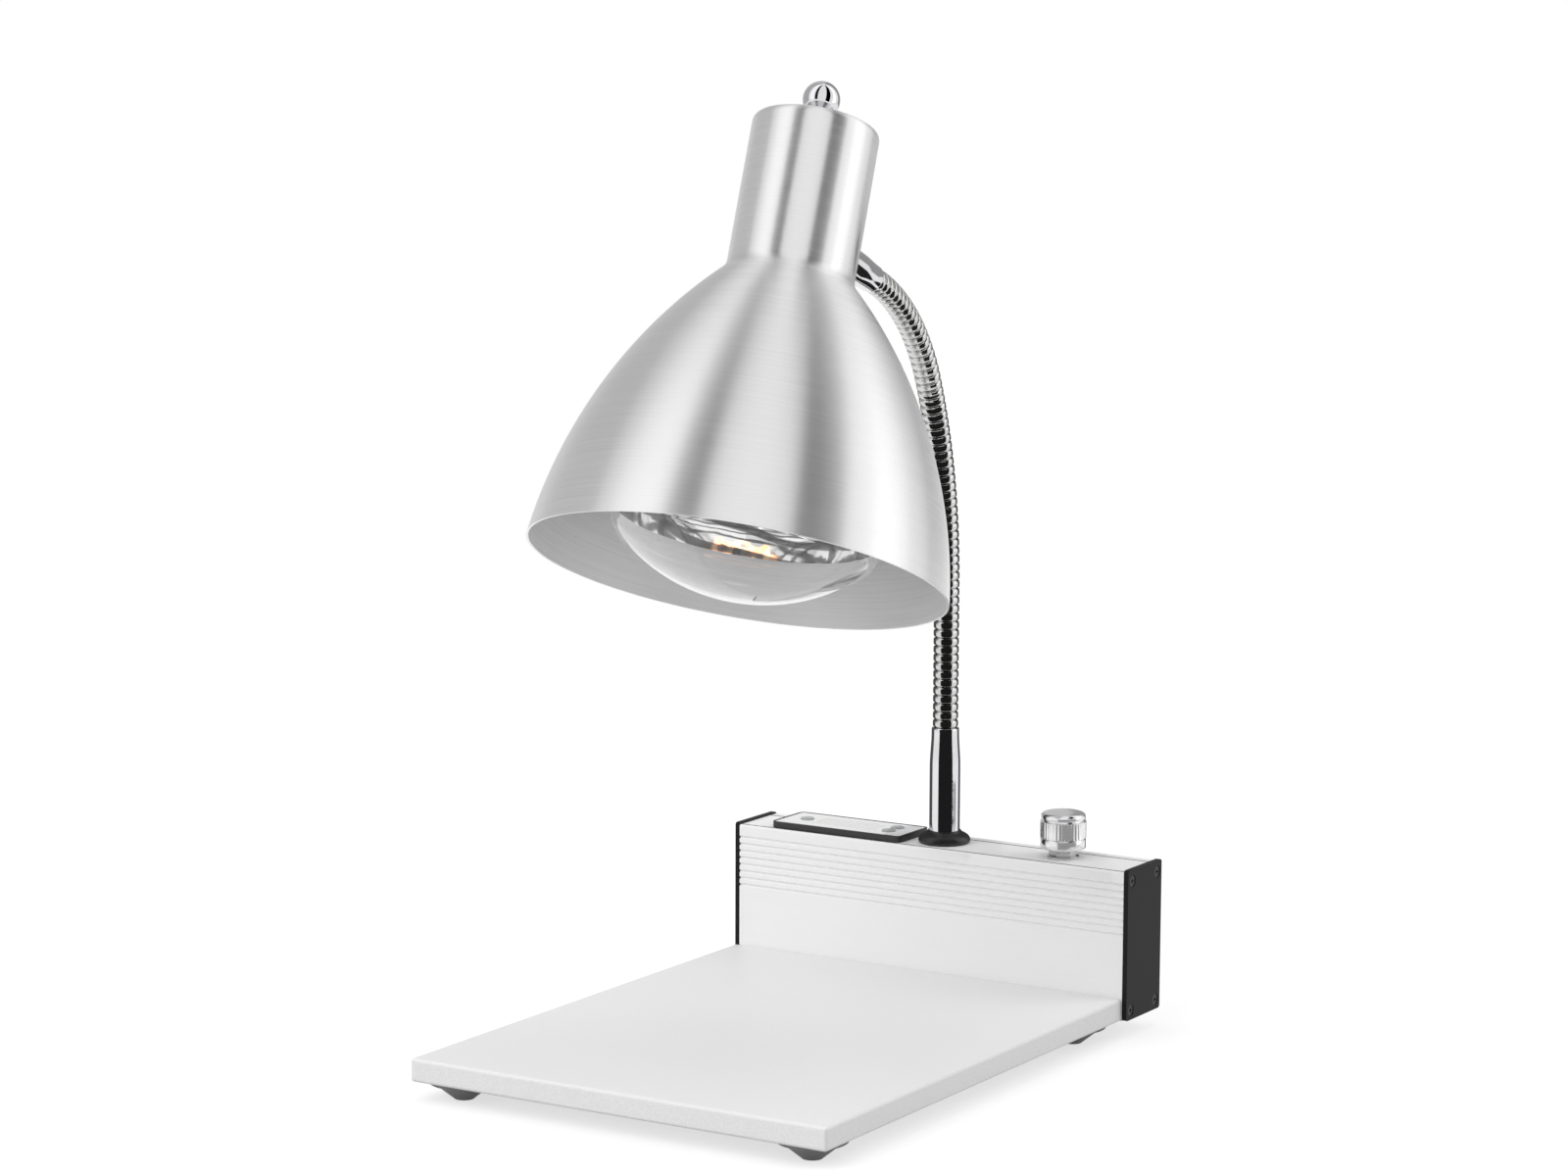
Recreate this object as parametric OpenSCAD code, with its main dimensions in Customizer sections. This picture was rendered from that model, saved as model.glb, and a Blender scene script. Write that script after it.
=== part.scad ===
// Bench heat lamp: a reflector bulb in a spun shade, carried by a flexible gooseneck that stands
// on an extruded control housing with a dimmer knob and a display panel, behind a work board.
// Frame: origin on the table under the middle of the footprint, +X right, +Y rear, +Z up.

/* [Work board] */
// Front-to-back depth of the board
board_d = 276; // [240:1:320]
// Thickness of the board
board_t = 11; // [9:0.5:16]
// Radius of the board's eased edges
board_edge_r = 1.5; // [0.5:0.1:3]

/* [Feet] */
// Height of a rubber foot
foot_h = 9; // [8:0.5:14]
// Radius of the foot's thin top flange
foot_flange_r = 16; // [14:0.5:18]
// Thickness of that flange
foot_flange_t = 1.5; // [1:0.1:2.5]
// Radius of the foot's cone under the flange
foot_cone_r = 13.6; // [10:0.2:13.8]
// Radius of the foot's tip on the table
foot_tip_r = 5; // [4.5:0.1:8]
// Distance from the board's edges to a foot's centre
foot_inset = 17.5; // [16.5:0.5:40]
// Radius of a foot screw's shank
foot_screw_r = 1.6; // [1:0.1:2]

/* [Control housing] */
// Length of the extrusion between its end plates
housing_l = 218; // [190:1:260]
// Front-to-back depth of the extrusion
housing_d = 35.5; // [34:0.5:45]
// Height of the extrusion, from the underside of the board
housing_h = 73; // [68:1:90]
// Wall of the extrusion
wall = 2.2; // [1.8:0.1:2.6]
// Thickness of the inset top plate
top_plate_t = 2; // [1.5:0.1:2.5]
// Width of the lip along the rear of the top
rear_lip = 6; // [5:0.5:8]
// Width of the ledges that carry the top plate
ledge = 1.5; // [1:0.1:2]
// Number of grooves in the front face
grooves = 8; // [4:1:9]
// Spacing of the grooves
groove_pitch = 3.5; // [2.5:0.1:4]
// Width of a groove
groove_w = 1.7; // [1:0.1:2]
// Depth of a groove
groove_depth = 0.9; // [0.5:0.1:1.2]
// Height of the plain band above the top groove
groove_top_band = 6.4; // [4:0.1:8]
// Thickness of an end plate
plate_t = 2.5; // [2:0.1:4]
// How far the end plates stand above the top
plate_lip = 1; // [0.5:0.1:2]
// Distance from the extrusion's faces to an end plate screw
screw_inset = 4.7; // [4.6:0.1:4.9]
// Radius of an end plate screw's shank
plate_screw_r = 1.2; // [0.8:0.1:1.5]
// Radius of the three screws between housing and board
board_screw_r = 2; // [1.5:0.1:2.2]

/* [Cord entry] */
// Distance of the cord bushing to the right of the middle
bushing_x = 82; // [60:1:90]
// Height of the bushing above the housing's underside
bushing_z = 16; // [12:0.5:18]
// Radius of the bushing's flange
bushing_flange_r = 9; // [8:0.5:10]
// Thickness of the bushing's flange outside the rear wall
bushing_flange_t = 2.5; // [2:0.1:4]
// Radius of the bushing's bore for the cord
bushing_bore_r = 3.5; // [2.5:0.1:4]

/* [Display panel] */
// Length of the bezel
bezel_l = 75; // [68:0.5:78]
// Width of the bezel
bezel_w = 30; // [28:0.5:31]
// Height of the bezel above the top
bezel_h = 3.2; // [2.8:0.1:5]
// Corner radius of the bezel
bezel_r = 3; // [1:0.5:5]
// Distance of the bezel's middle to the left of the housing's middle
bezel_x = 54.5; // [52:0.5:58]
// Rim of the bezel around its face plate
bezel_rim = 1.3; // [1:0.1:2]
// Length of the display window
window_l = 36; // [20:0.5:38]
// Width of the display window
window_w = 16; // [10:0.5:16.5]
// Radius of a button
button_r = 3.3; // [2:0.1:3.4]
// How far a button stands above the face plate
button_proud = 0.7; // [0.5:0.1:1.5]
// Travel of a button
button_travel = 0.8; // [0.4:0.1:1]

/* [Dimmer] */
// Distance of the dimmer to the right of the middle
knob_x = 66.5; // [55:0.5:72]
// Radius of the knob
knob_r = 11.3; // [9:0.1:14]
// Height of the knob
knob_h = 19.5; // [16:0.5:24]
// Number of flutes around the knob
knob_flutes = 40; // [24:2:60]
// Radius of the dimmer's shaft
shaft_r = 3; // [2:0.1:3]
// Radius of the threaded bush that holds the dimmer
pot_bush_r = 3.8; // [3.6:0.1:4.2]
// Distance across the flats of the dimmer's nut
pot_nut_af = 12; // [10:0.5:14]
// Thickness of the dimmer's nut
pot_nut_t = 3.2; // [2:0.1:4]

/* [Gooseneck] */
// Spacing of the tube's ribs
rib_pitch = 4.1; // [3.8:0.05:4.5]
// Ribs in each link of the tube
link_ribs = 7; // [5:1:7]
// Number of links between the two end pieces
links = 8; // [8:1:8]
// Ribs on each end piece
end_ribs = 3; // [3:1:4]
// Radius over the ribs
rib_r = 6.3; // [6:0.1:6.4]
// Radius between the ribs
valley_r = 5.4; // [5.2:0.1:5.6]
// Radius of the ball at each joint
ball_r = 4.3; // [4:0.1:4.4]
// Clearance of a ball in its socket
ball_clearance = 0.35; // [0.2:0.05:0.4]
// Half of the open valley between two links
joint_gap = 1; // [0.9:0.05:1.2]
// Radius of the wire passage
passage_r = 2.9; // [2.5:0.1:3]
// Radius of the lower, slow bend
bend1_r = 260; // [220:5:400]
// Angle of the lower bend
bend1_a = 23; // [10:0.5:25]
// Radius of the upper, tight bend
bend2_r = 92; // [80:1:110]
// Length of the straight stretch before the shade
top_straight = 5.4; // [3:0.1:12]
// Radius of the foot ferrule
ferrule_r = 7.6; // [7.2:0.1:9]
// Radius of a ferrule's thin end
ferrule_tip_r = 6.8; // [6.7:0.1:7]
// Height of the foot ferrule above the housing
ferrule_h = 58; // [50:1:70]
// Length of a ferrule's taper
ferrule_taper = 18; // [12:1:24]
// Length of the ferrule at the shade
head_ferrule_l = 42; // [36:1:50]
// Radius of a ferrule's threaded stud
stud_r = 5; // [4.5:0.1:5.5]
// Radius of the rubber collar at the foot
collar_r = 12.8; // [11:0.1:15]
// Height of the rubber collar
collar_h = 5.5; // [4:0.1:8]

/* [Shade] */
// Forward tilt of the shade's axis
head_tilt = 22.6; // [15:0.1:30]
// Sideways lean of the shade about the ferrule
head_lean = 2.5; // [-5:0.1:5]
// Outside radius of the mouth
mouth_r = 96.5; // [92:0.5:102]
// Outside radius of the neck
neck_r = 29.7; // [29:0.1:32]
// Height of the bell, from the mouth to the neck
bell_h = 140; // [134:1:146]
// Height of the neck
neck_h = 74.5; // [72:0.5:85]
// Radius of the bell's curved side
bell_curve_r = 237; // [200:1:300]
// Radius where the bell runs into the neck
waist_r = 8; // [4:0.5:12]
// Radius of the neck's top edge
crown_r = 3.5; // [2:0.5:5]
// Wall of the shade
shade_t = 1; // [0.8:0.1:1.5]
// Height of the ferrule above the mouth
ferrule_z = 165; // [163:1:170]
// Radius of the finial's ball
finial_r = 8.7; // [7:0.1:9]
// Height of the finial
finial_h = 23; // [20:0.5:26]
// Radius of the finial's flared base
finial_base_r = 11; // [9:0.1:12]

/* [Bulb and holder] */
// Largest radius of the bulb
bulb_r = 62.5; // [60:0.5:64]
// Height of the bulb's front above the mouth; below 0 it stands out of the shade
bulb_front = -12; // [-14:0.5:2]
// Height of the bulb's widest ring above the mouth
edge_z = 21; // [20:0.5:23]
// Radius of the bulb's front dome
dome_r = 88; // [84:0.5:92]
// Length of the glass
bulb_glass_l = 164; // [162:0.5:166]
// Radius of the glass neck
bulb_neck_r = 19; // [17:0.5:21]
// Wall of the glass
glass_t = 1.2; // [0.8:0.1:1.5]
// Radius of the screw cap
cap_r = 13.3; // [13:0.1:13.4]
// Height of the screw cap
cap_h = 25; // [24:0.5:26]
// Outside radius of the lampholder
holder_r = 18.5; // [18:0.1:19]
// Height of the lampholder
holder_h = 46; // [44:0.5:48]
// Radius of the stud between lampholder and finial
holder_stud_r = 4; // [3:0.1:4.5]

/* [Hidden] */

$fn = 64;
eps = 0.01;      // overreach of a cut past the face it opens
fit = 0.05;      // radial clearance of a screw or shaft in its hole
seat = 0.1;      // clearance of a piece in its recess

// The whole footprint is centred on the origin
depth = board_d + housing_d + bushing_flange_t;
front_y = -depth / 2;
house_y = front_y + board_d;
house_z = foot_h;
house_top = house_z + housing_h;
mid_y = house_y + housing_d / 2;
inside_d = housing_d - 2 * wall;
board_x0 = -housing_l / 2 - plate_t;
board_w = housing_l + plate_t;
board_top = foot_h + board_t;

// Feet and their screws
foot_recess_r = foot_tip_r - 1.6;
foot_recess_h = 4.5;
foot_screw_head_r = foot_recess_r - 0.4;
foot_screw_head_t = 1.8;
foot_screw_l = 6;

// Top plate between the front wall and the rear lip
plate_y0 = house_y + wall - 0.4;
plate_y1 = house_y + housing_d - rear_lip;
boss_r = 2.4;
boss_bore_l = 12;
plate_screw_head_r = 2.7;
plate_screw_head_t = 1.5;
front_corner_r = 1;

// Screws from the housing into the board
board_screw_l = 16;
board_screw_head_r = 3.6;
board_screw_head_t = 2.4;
board_screw_spread = 80;
board_screw_z = foot_h + board_t / 2;

// Cord bushing
bushing_body_r = bushing_bore_r + 3.2;
bushing_inside = 7;

// Display panel, measured down from the top of the bezel
bezel_top = house_top + bezel_h;
face_t = 0.7;
face_l = bezel_l - 2 * bezel_rim;
face_w = bezel_w - 2 * bezel_rim;
face_r = bezel_r - bezel_rim;
bezel_floor_t = 1.4;
tray_l = bezel_l - 8;
tray_w = 20;
tray_t = 1.4;
tray_h = 17;
screen_t = 4;
pcb_t = 1.6;
display_pcb_z = bezel_top - face_t - 9;
button_spread = (window_l / 2 + tray_l / 2 - tray_t) / 2;
button_pair = 8.8;
button_flange_r = button_r + 0.7;
button_flange_t = 1;
button_stem_r = 1.2;
button_hole_r = button_r + 0.25;
switch_s = 5;
switch_h = 2.6;

// Dimmer, measured up from the top of the housing
pot_washer_t = 0.8;
pot_washer_r = 8;
pot_body_r = 8;
pot_body_h = 11;
pot_bush_top = house_top + pot_washer_t + pot_nut_t + 0.5;
knob_z = pot_bush_top - 0.1;
knob_lower_h = 5;
knob_groove = 0.5;
knob_upper_h = knob_h * 0.26;
knob_crown_r = knob_r - 2.5;
shaft_top = knob_z + knob_h - 4;
set_screw_r = 1.5;
set_screw_z = knob_z + 2.8;

// Circuit board in the housing
rail_t = 1.2;
rail_reach = 1.6;
pcb_slot = pcb_t + 0.3;
pcb_z = house_z + 21;
dimmer_pcb_l = 112;
dimmer_pcb_w = inside_d - 0.5;

// Gooseneck centre line, as arc length from the top of the foot ferrule
goose_base = house_top + ferrule_h;
flex_l = (2 * end_ribs + links * link_ribs) * rib_pitch;
bend2_a = 90 - head_tilt - bend1_a;
arc1_l = bend1_r * bend1_a * PI / 180;
arc2_l = bend2_r * bend2_a * PI / 180;
low_straight = flex_l - arc1_l - arc2_l - top_straight;

// Angle from the vertical at arc length u
function lean_at(u) =
  u < low_straight ? 0 :
  u < low_straight + arc1_l ? (u - low_straight) / bend1_r * 180 / PI :
  u < low_straight + arc1_l + arc2_l ? bend1_a + (u - low_straight - arc1_l) / bend2_r * 180 / PI :
  bend1_a + bend2_a;

// Reach forward of the gooseneck's foot at arc length u
function reach_at(u) =
  u < low_straight ? 0 :
  u < low_straight + arc1_l ? bend1_r * (1 - cos(lean_at(u))) :
  u < low_straight + arc1_l + arc2_l ?
    bend1_r * (1 - cos(bend1_a)) + bend2_r * (cos(bend1_a) - cos(lean_at(u))) :
  reach_at(low_straight + arc1_l + arc2_l - eps) + (u - low_straight - arc1_l - arc2_l)
    * sin(bend1_a + bend2_a);

// Height above the foot ferrule at arc length u
function rise_at(u) =
  u < low_straight ? u :
  u < low_straight + arc1_l ? low_straight + bend1_r * sin(lean_at(u)) :
  u < low_straight + arc1_l + arc2_l ?
    low_straight + bend1_r * sin(bend1_a) + bend2_r * (sin(lean_at(u)) - sin(bend1_a)) :
  rise_at(low_straight + arc1_l + arc2_l - eps) + (u - low_straight - arc1_l - arc2_l)
    * cos(bend1_a + bend2_a);

// A point of the centre line, and the point at radius r and angle a around it
function line_at(u) = [0, mid_y - reach_at(u), goose_base + rise_at(u)];
function around(u, r, a) = line_at(u)
  + r * [cos(a), sin(a) * cos(lean_at(u)), sin(a) * sin(lean_at(u))];

// Joint j lies between two links; j runs from 1 to links + 1
function joint_u(j) = (end_ribs + (j - 1) * link_ribs) * rib_pitch;

rib_sides = 8;
sleeve_l = 10;
sleeve_r = valley_r + 0.1;
fixing_washer_r = 10;
fixing_washer_t = 1;
fixing_nut_af = 14;
fixing_nut_t = 4;
stud_l = 10;
lead_r = 2;
mains_r = 3.4;
lead_sides = 8;
block_x = 44;

// The shade's own frame has its origin in the mouth, +Z up its axis and +Y at the ferrule
tube_end = line_at(flex_l);
neck_point = tube_end + (head_ferrule_l + neck_r) * [0, -cos(head_tilt), sin(head_tilt)];
neck_top = bell_h + neck_h;
chord = sqrt(pow(mouth_r - neck_r, 2) + pow(bell_h, 2));
bell_sag = sqrt(pow(bell_curve_r, 2) - pow(chord / 2, 2));
bell_cr = (mouth_r + neck_r) / 2 - bell_sag * bell_h / chord;
bell_cz = bell_h / 2 - bell_sag * (mouth_r - neck_r) / chord;

// Bulb profile, as heights above the mouth
// The rolled edge touches the dome from inside and has the widest ring as its outermost point
dome_rise = bulb_front + dome_r - edge_z;
edge_r = (pow(dome_r, 2) - pow(dome_rise, 2) - pow(bulb_r, 2)) / (2 * (dome_r - bulb_r));
meet_angle = atan2(bulb_r - edge_r, dome_rise);
reflector_h = 96;
shoulder_z = edge_z + reflector_h;
glass_top = bulb_front + bulb_glass_l;
cap_top = glass_top + cap_h;
coat_t = 0.4;

// Lampholder
holder_z = cap_top - cap_h + 2;
holder_top = holder_z + holder_h;
shell_r = cap_r + 0.9;
shell_t = 0.5;
holder_bore_r = shell_r + 0.2;
contact_t = 2;
holder_bore_top = cap_top + 3.2 + contact_t;

module eased_slab(size, r) {
  // A slab with every edge rounded, from its lowest corner
  inner = [size.x - 2 * r, size.y - 2 * r, size.z - 2 * r];
  translate([0, r, r]) cube([size.x, inner.y, inner.z]);
  translate([r, 0, r]) cube([inner.x, size.y, inner.z]);
  translate([r, r, 0]) cube([inner.x, inner.y, size.z]);
  for (x = [r, size.x - r], y = [r, size.y - r]) {
    translate([x, y, r]) cylinder(r = r, h = inner.z);
    for (z = [r, size.z - r]) translate([x, y, z]) sphere(r);
  }
  for (x = [r, size.x - r], z = [r, size.z - r])
    translate([x, r, z]) rotate([-90, 0, 0]) cylinder(r = r, h = inner.y);
  for (y = [r, size.y - r], z = [r, size.z - r])
    translate([r, y, z]) rotate([0, 90, 0]) cylinder(r = r, h = inner.x);
}

module rounded_plate(l, w, t, r) {
  // A flat plate with rounded corners, centred in X and Y
  linear_extrude(t) {
    square([l - 2 * r, w], center = true);
    square([l, w - 2 * r], center = true);
    for (x = [-1, 1], y = [-1, 1])
      translate([x * (l / 2 - r), y * (w / 2 - r)]) circle(r);
  }
}

module hex_nut(af, t, bore_r) {
  difference() {
    cylinder(r = af / 2 / cos(30), h = t, $fn = 6);
    translate([0, 0, -eps]) cylinder(r = bore_r, h = t + 2 * eps);
  }
}

module cross_recess(r, t) {
  // A cross-head recess, cut downwards from z = 0
  for (a = [0, 90]) rotate(a) translate([-r, -r / 5, -t]) cube([2 * r, r / 2.5, t + eps]);
}

module at_feet() {
  for (x = [board_x0 + foot_inset, board_x0 + board_w - foot_inset],
       y = [front_y + foot_inset, front_y + board_d - foot_inset])
    translate([x, y, 0]) children();
}

module at_board_screws() {
  for (x = [-board_screw_spread, 0, board_screw_spread])
    translate([x, house_y, board_screw_z]) rotate([90, 0, 0]) children();
}

module at_plate_screws(side) {
  // Screw axes of an end plate: side is -1 at the left and 1 at the right, +Z points outwards
  for (y = [house_y + screw_inset, house_y + housing_d - screw_inset],
       z = [house_z + screw_inset, house_top - screw_inset])
    translate([side * housing_l / 2, y, z]) rotate([0, side * 90, 0]) children();
}

module at_gooseneck() {
  translate([0, mid_y, house_top]) children();
}

module at_knob(z) {
  translate([knob_x, mid_y, z]) children();
}

module at_display(z) {
  translate([-bezel_x, mid_y, z]) children();
}

module at_bushing() {
  translate([bushing_x, house_y + housing_d, house_z + bushing_z]) rotate([-90, 0, 0]) children();
}

module in_head() {
  translate(neck_point) rotate([-head_tilt, 0, 0]) rotate([0, -head_lean, 0])
    translate([0, 0, -ferrule_z]) children();
}

module at_head_ferrule() {
  // +Z runs along the ferrule's axis, away from the shade, from the shade's axis
  translate(neck_point) rotate([-head_tilt, 0, 0]) rotate([-90, 0, 0]) children();
}

module base_board() color([0.89, 0.89, 0.88]) difference() {
  translate([board_x0, front_y, foot_h]) eased_slab([board_w, board_d, board_t], board_edge_r);
  at_feet() translate([0, 0, foot_h - eps]) cylinder(r = foot_screw_r + fit, h = foot_screw_l + 0.5);
  at_board_screws() translate([0, 0, -eps])
    cylinder(r = board_screw_r + fit, h = board_screw_l - wall + 0.5);
}

module feet() color([0.32, 0.32, 0.33]) at_feet() difference() {
  union() {
    translate([0, 0, foot_h - foot_flange_t]) cylinder(r = foot_flange_r, h = foot_flange_t);
    cylinder(r1 = foot_tip_r, r2 = foot_cone_r, h = foot_h - foot_flange_t);
  }
  translate([0, 0, -eps]) cylinder(r = foot_screw_r + fit, h = foot_h + 2 * eps);
  translate([0, 0, -eps]) cylinder(r = foot_recess_r, h = foot_recess_h + eps);
}

module foot_screws() color([0.7, 0.7, 0.72]) at_feet() {
  translate([0, 0, foot_recess_h - foot_screw_head_t]) difference() {
    cylinder(r = foot_screw_head_r, h = foot_screw_head_t);
    rotate([180, 0, 0]) cross_recess(foot_screw_head_r * 0.6, foot_screw_head_t / 2);
  }
  translate([0, 0, foot_recess_h - eps])
    cylinder(r = foot_screw_r, h = foot_h - foot_recess_h + foot_screw_l);
}

module extrusion_profile() {
  // Section of the extrusion: X is depth from the front face, Y is height
  difference() {
    square([housing_d, housing_h]);
    translate([wall, wall]) square([inside_d, housing_h - wall - top_plate_t]);
    translate([plate_y0 - house_y, housing_h - top_plate_t])
      square([plate_y1 - plate_y0, top_plate_t + 1]);
    for (i = [0 : grooves - 1]) {
      z = housing_h - groove_top_band - i * groove_pitch;
      polygon([[-eps, z - groove_w / 2], [-eps, z + groove_w / 2], [groove_depth, z]]);
    }
    translate([0, housing_h - front_corner_r]) difference() {
      translate([-eps, 0]) square([front_corner_r + eps, front_corner_r + eps]);
      translate([front_corner_r, 0]) circle(front_corner_r);
    }
  }
  // Ledges under the top plate
  ledge_z = housing_h - top_plate_t - ledge;
  translate([wall - eps, ledge_z]) square([ledge, ledge]);
  translate([housing_d - rear_lip - ledge, ledge_z]) square([rear_lip + ledge - wall + eps, ledge]);
  translate([housing_d - rear_lip, housing_h - top_plate_t - eps])
    square([rear_lip - wall + eps, top_plate_t + eps]);
  // Rails for the circuit board
  for (x = [wall - eps, housing_d - wall - rail_reach + eps],
       z = [pcb_z - house_z - rail_t, pcb_z - house_z + pcb_slot])
    translate([x, z]) square([rail_reach, rail_t]);
  // Bosses for the end plate screws, each with a web to its wall
  for (z = [screw_inset, housing_h - screw_inset]) {
    for (x = [screw_inset, housing_d - screw_inset]) translate([x, z]) circle(boss_r);
    for (x = [wall - eps, housing_d - screw_inset])
      translate([x, z - boss_r / 2]) square([screw_inset - wall + eps, boss_r]);
  }
}

module housing_extrusion() color([0.87, 0.87, 0.87]) difference() {
  translate([-housing_l / 2, house_y, house_z]) rotate([90, 0, 90])
    linear_extrude(housing_l) extrusion_profile();
  for (side = [-1, 1]) at_plate_screws(side) translate([0, 0, -boss_bore_l])
    cylinder(r = plate_screw_r + fit, h = boss_bore_l + eps);
  at_board_screws() {
    translate([0, 0, -wall - eps]) cylinder(r = board_screw_r + fit, h = wall + 2 * eps);
    // Pocket for the screw's head in the boss behind the wall
    translate([0, 0, -wall - 6]) cylinder(r = board_screw_head_r + 0.3, h = 6);
  }
  at_bushing() {
    translate([0, 0, -wall - eps]) cylinder(r = bushing_body_r + fit, h = wall + 2 * eps);
    // Room for the bushing's barbs in the rails
    translate([0, 0, -wall - bushing_inside - 0.5])
      cylinder(r = bushing_body_r + 1.7, h = bushing_inside + 0.5);
  }
}

module housing_top_plate() color([0.87, 0.87, 0.87]) difference() {
  translate([-housing_l / 2, plate_y0 + seat, house_top - top_plate_t])
    cube([housing_l, plate_y1 - plate_y0 - 2 * seat, top_plate_t]);
  at_display(house_top - top_plate_t - eps) translate([0, 0, (top_plate_t + 2 * eps) / 2])
    cube([tray_l + 2 * seat, tray_w + 2 * seat, top_plate_t + 2 * eps], center = true);
  at_gooseneck() translate([0, 0, -top_plate_t - eps])
    cylinder(r = stud_r + fit, h = top_plate_t + 2 * eps);
  at_knob(house_top - top_plate_t - eps) cylinder(r = pot_bush_r + fit, h = top_plate_t + 2 * eps);
}

module end_plate(side) color([0.12, 0.12, 0.13]) difference() {
  translate([side > 0 ? housing_l / 2 : -housing_l / 2 - plate_t, mid_y,
             house_z + (housing_h + plate_lip) / 2])
    rotate([90, 0, 90]) rounded_plate(housing_d, housing_h + plate_lip, plate_t, 1.5);
  at_plate_screws(side) {
    translate([0, 0, -eps]) cylinder(r = plate_screw_r + fit, h = plate_t + 2 * eps);
    translate([0, 0, plate_t - plate_screw_head_t - 0.3])
      cylinder(r = plate_screw_head_r + 0.2, h = plate_screw_head_t + 0.3 + eps);
  }
}
module end_plate_left() end_plate(-1);
module end_plate_right() end_plate(1);

module end_plate_screws() color([0.2, 0.2, 0.21]) for (side = [-1, 1])
  at_plate_screws(side) translate([0, 0, plate_t - plate_screw_head_t - 0.3]) {
    difference() {
      cylinder(r = plate_screw_head_r, h = plate_screw_head_t);
      translate([0, 0, plate_screw_head_t]) cross_recess(1.5, 0.8);
    }
    translate([0, 0, -8]) cylinder(r = plate_screw_r, h = 8 + eps);
  }

module board_screws() color([0.7, 0.7, 0.72]) at_board_screws() {
  translate([0, 0, -wall]) cylinder(r = board_screw_r, h = board_screw_l);
  translate([0, 0, -wall - board_screw_head_t]) difference() {
    cylinder(r = board_screw_head_r, h = board_screw_head_t);
    rotate([180, 0, 0]) cross_recess(2, 1.2);
  }
}

module cord_bushing() color([0.1, 0.1, 0.1]) at_bushing() difference() {
  union() {
    cylinder(r1 = bushing_flange_r, r2 = bushing_flange_r - 1, h = bushing_flange_t);
    translate([0, 0, -wall - eps]) cylinder(r = bushing_body_r, h = wall + 2 * eps);
    translate([0, 0, -wall - bushing_inside]) cylinder(r = bushing_body_r + 0.9, h = bushing_inside);
  }
  translate([0, 0, -wall - bushing_inside - eps])
    cylinder(r = bushing_bore_r, h = wall + bushing_inside + bushing_flange_t + 2 * eps);
}

// Places of the buttons on the display's face
button_left_at = [-button_spread, 0];
button_up_at = [button_spread, button_pair / 2];
button_down_at = [button_spread, -button_pair / 2];

module at_buttons() {
  for (p = [button_left_at, button_up_at, button_down_at]) translate(p) children();
}

module display_bezel() color([0.08, 0.08, 0.09]) at_display(0) difference() {
  union() {
    translate([0, 0, house_top]) rounded_plate(bezel_l, bezel_w, bezel_h, bezel_r);
    translate([0, 0, house_top - tray_h / 2 + eps])
      cube([tray_l, tray_w, tray_h], center = true);
  }
  translate([0, 0, bezel_top - face_t - seat])
    rounded_plate(face_l, face_w, face_t + 1, face_r);
  translate([0, 0, bezel_top - face_t - bezel_floor_t - (tray_h + bezel_h) / 2])
    cube([tray_l - 2 * tray_t, tray_w - 2 * tray_t, tray_h + bezel_h], center = true);
  translate([0, 0, bezel_top - face_t])
    cube([window_l + 2 * seat, window_w + 2 * seat, 3 * bezel_floor_t], center = true);
  at_buttons() translate([0, 0, bezel_top - face_t - bezel_floor_t - 1])
    cylinder(r = button_hole_r, h = bezel_floor_t + 2);
}

module display_faceplate() color([0.8, 0.81, 0.82]) at_display(bezel_top - face_t) difference() {
  rounded_plate(face_l - 2 * seat, face_w - 2 * seat, face_t - seat, face_r - seat);
  cube([window_l + 2 * seat, window_w + 2 * seat, 3 * face_t], center = true);
  at_buttons() translate([0, 0, -eps]) cylinder(r = button_hole_r, h = face_t + 2 * eps);
}

module display_screen() color([0.62, 0.66, 0.62]) at_display(bezel_top - 0.2 - screen_t / 2)
  cube([window_l, window_w, screen_t], center = true);

module display_board() color([0.1, 0.4, 0.2]) at_display(display_pcb_z + pcb_t / 2)
  cube([tray_l - 2 * tray_t - 0.4, tray_w - 2 * tray_t - 0.4, pcb_t], center = true);

module display_switches() color([0.75, 0.75, 0.75]) at_display(display_pcb_z + pcb_t) {
  at_buttons() translate([0, 0, switch_h / 2]) cube([switch_s, switch_s, switch_h], center = true);
  // Header that carries the screen on its board
  screen_gap = bezel_top - 0.2 - screen_t - display_pcb_z - pcb_t;
  translate([0, 0, screen_gap / 2]) cube([window_l - 6, 3, screen_gap], center = true);
}

module button(at) color([0.55, 0.57, 0.6]) at_display(0) translate([at.x, at.y, 0]) {
  flange_top = bezel_top - face_t - bezel_floor_t - 0.1;
  stem_z = display_pcb_z + pcb_t + switch_h + button_travel + 0.1;
  translate([0, 0, flange_top - button_flange_t]) cylinder(r = button_flange_r, h = button_flange_t);
  translate([0, 0, flange_top - eps])
    cylinder(r = button_r, h = bezel_top - seat + button_proud - flange_top + eps);
  translate([0, 0, stem_z])
    cylinder(r = button_stem_r, h = flange_top - button_flange_t - stem_z + eps);
}
module button_left() button(button_left_at);
module button_up() button(button_up_at);
module button_down() button(button_down_at);

module potentiometer_body() color([0.35, 0.35, 0.38]) difference() {
  union() {
    at_knob(house_top - top_plate_t - pot_body_h) cylinder(r = pot_body_r, h = pot_body_h);
    at_knob(house_top - top_plate_t - eps)
      cylinder(r = pot_bush_r, h = pot_bush_top - house_top + top_plate_t + eps);
    at_knob(house_top - top_plate_t - pot_body_h + 1) translate([-5, pot_body_r - 2, 0])
      cube([10, 5, 1.2]);
  }
  at_knob(house_top - top_plate_t - pot_body_h + 2)
    cylinder(r = shaft_r + fit, h = pot_body_h + pot_bush_top);
}

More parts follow.
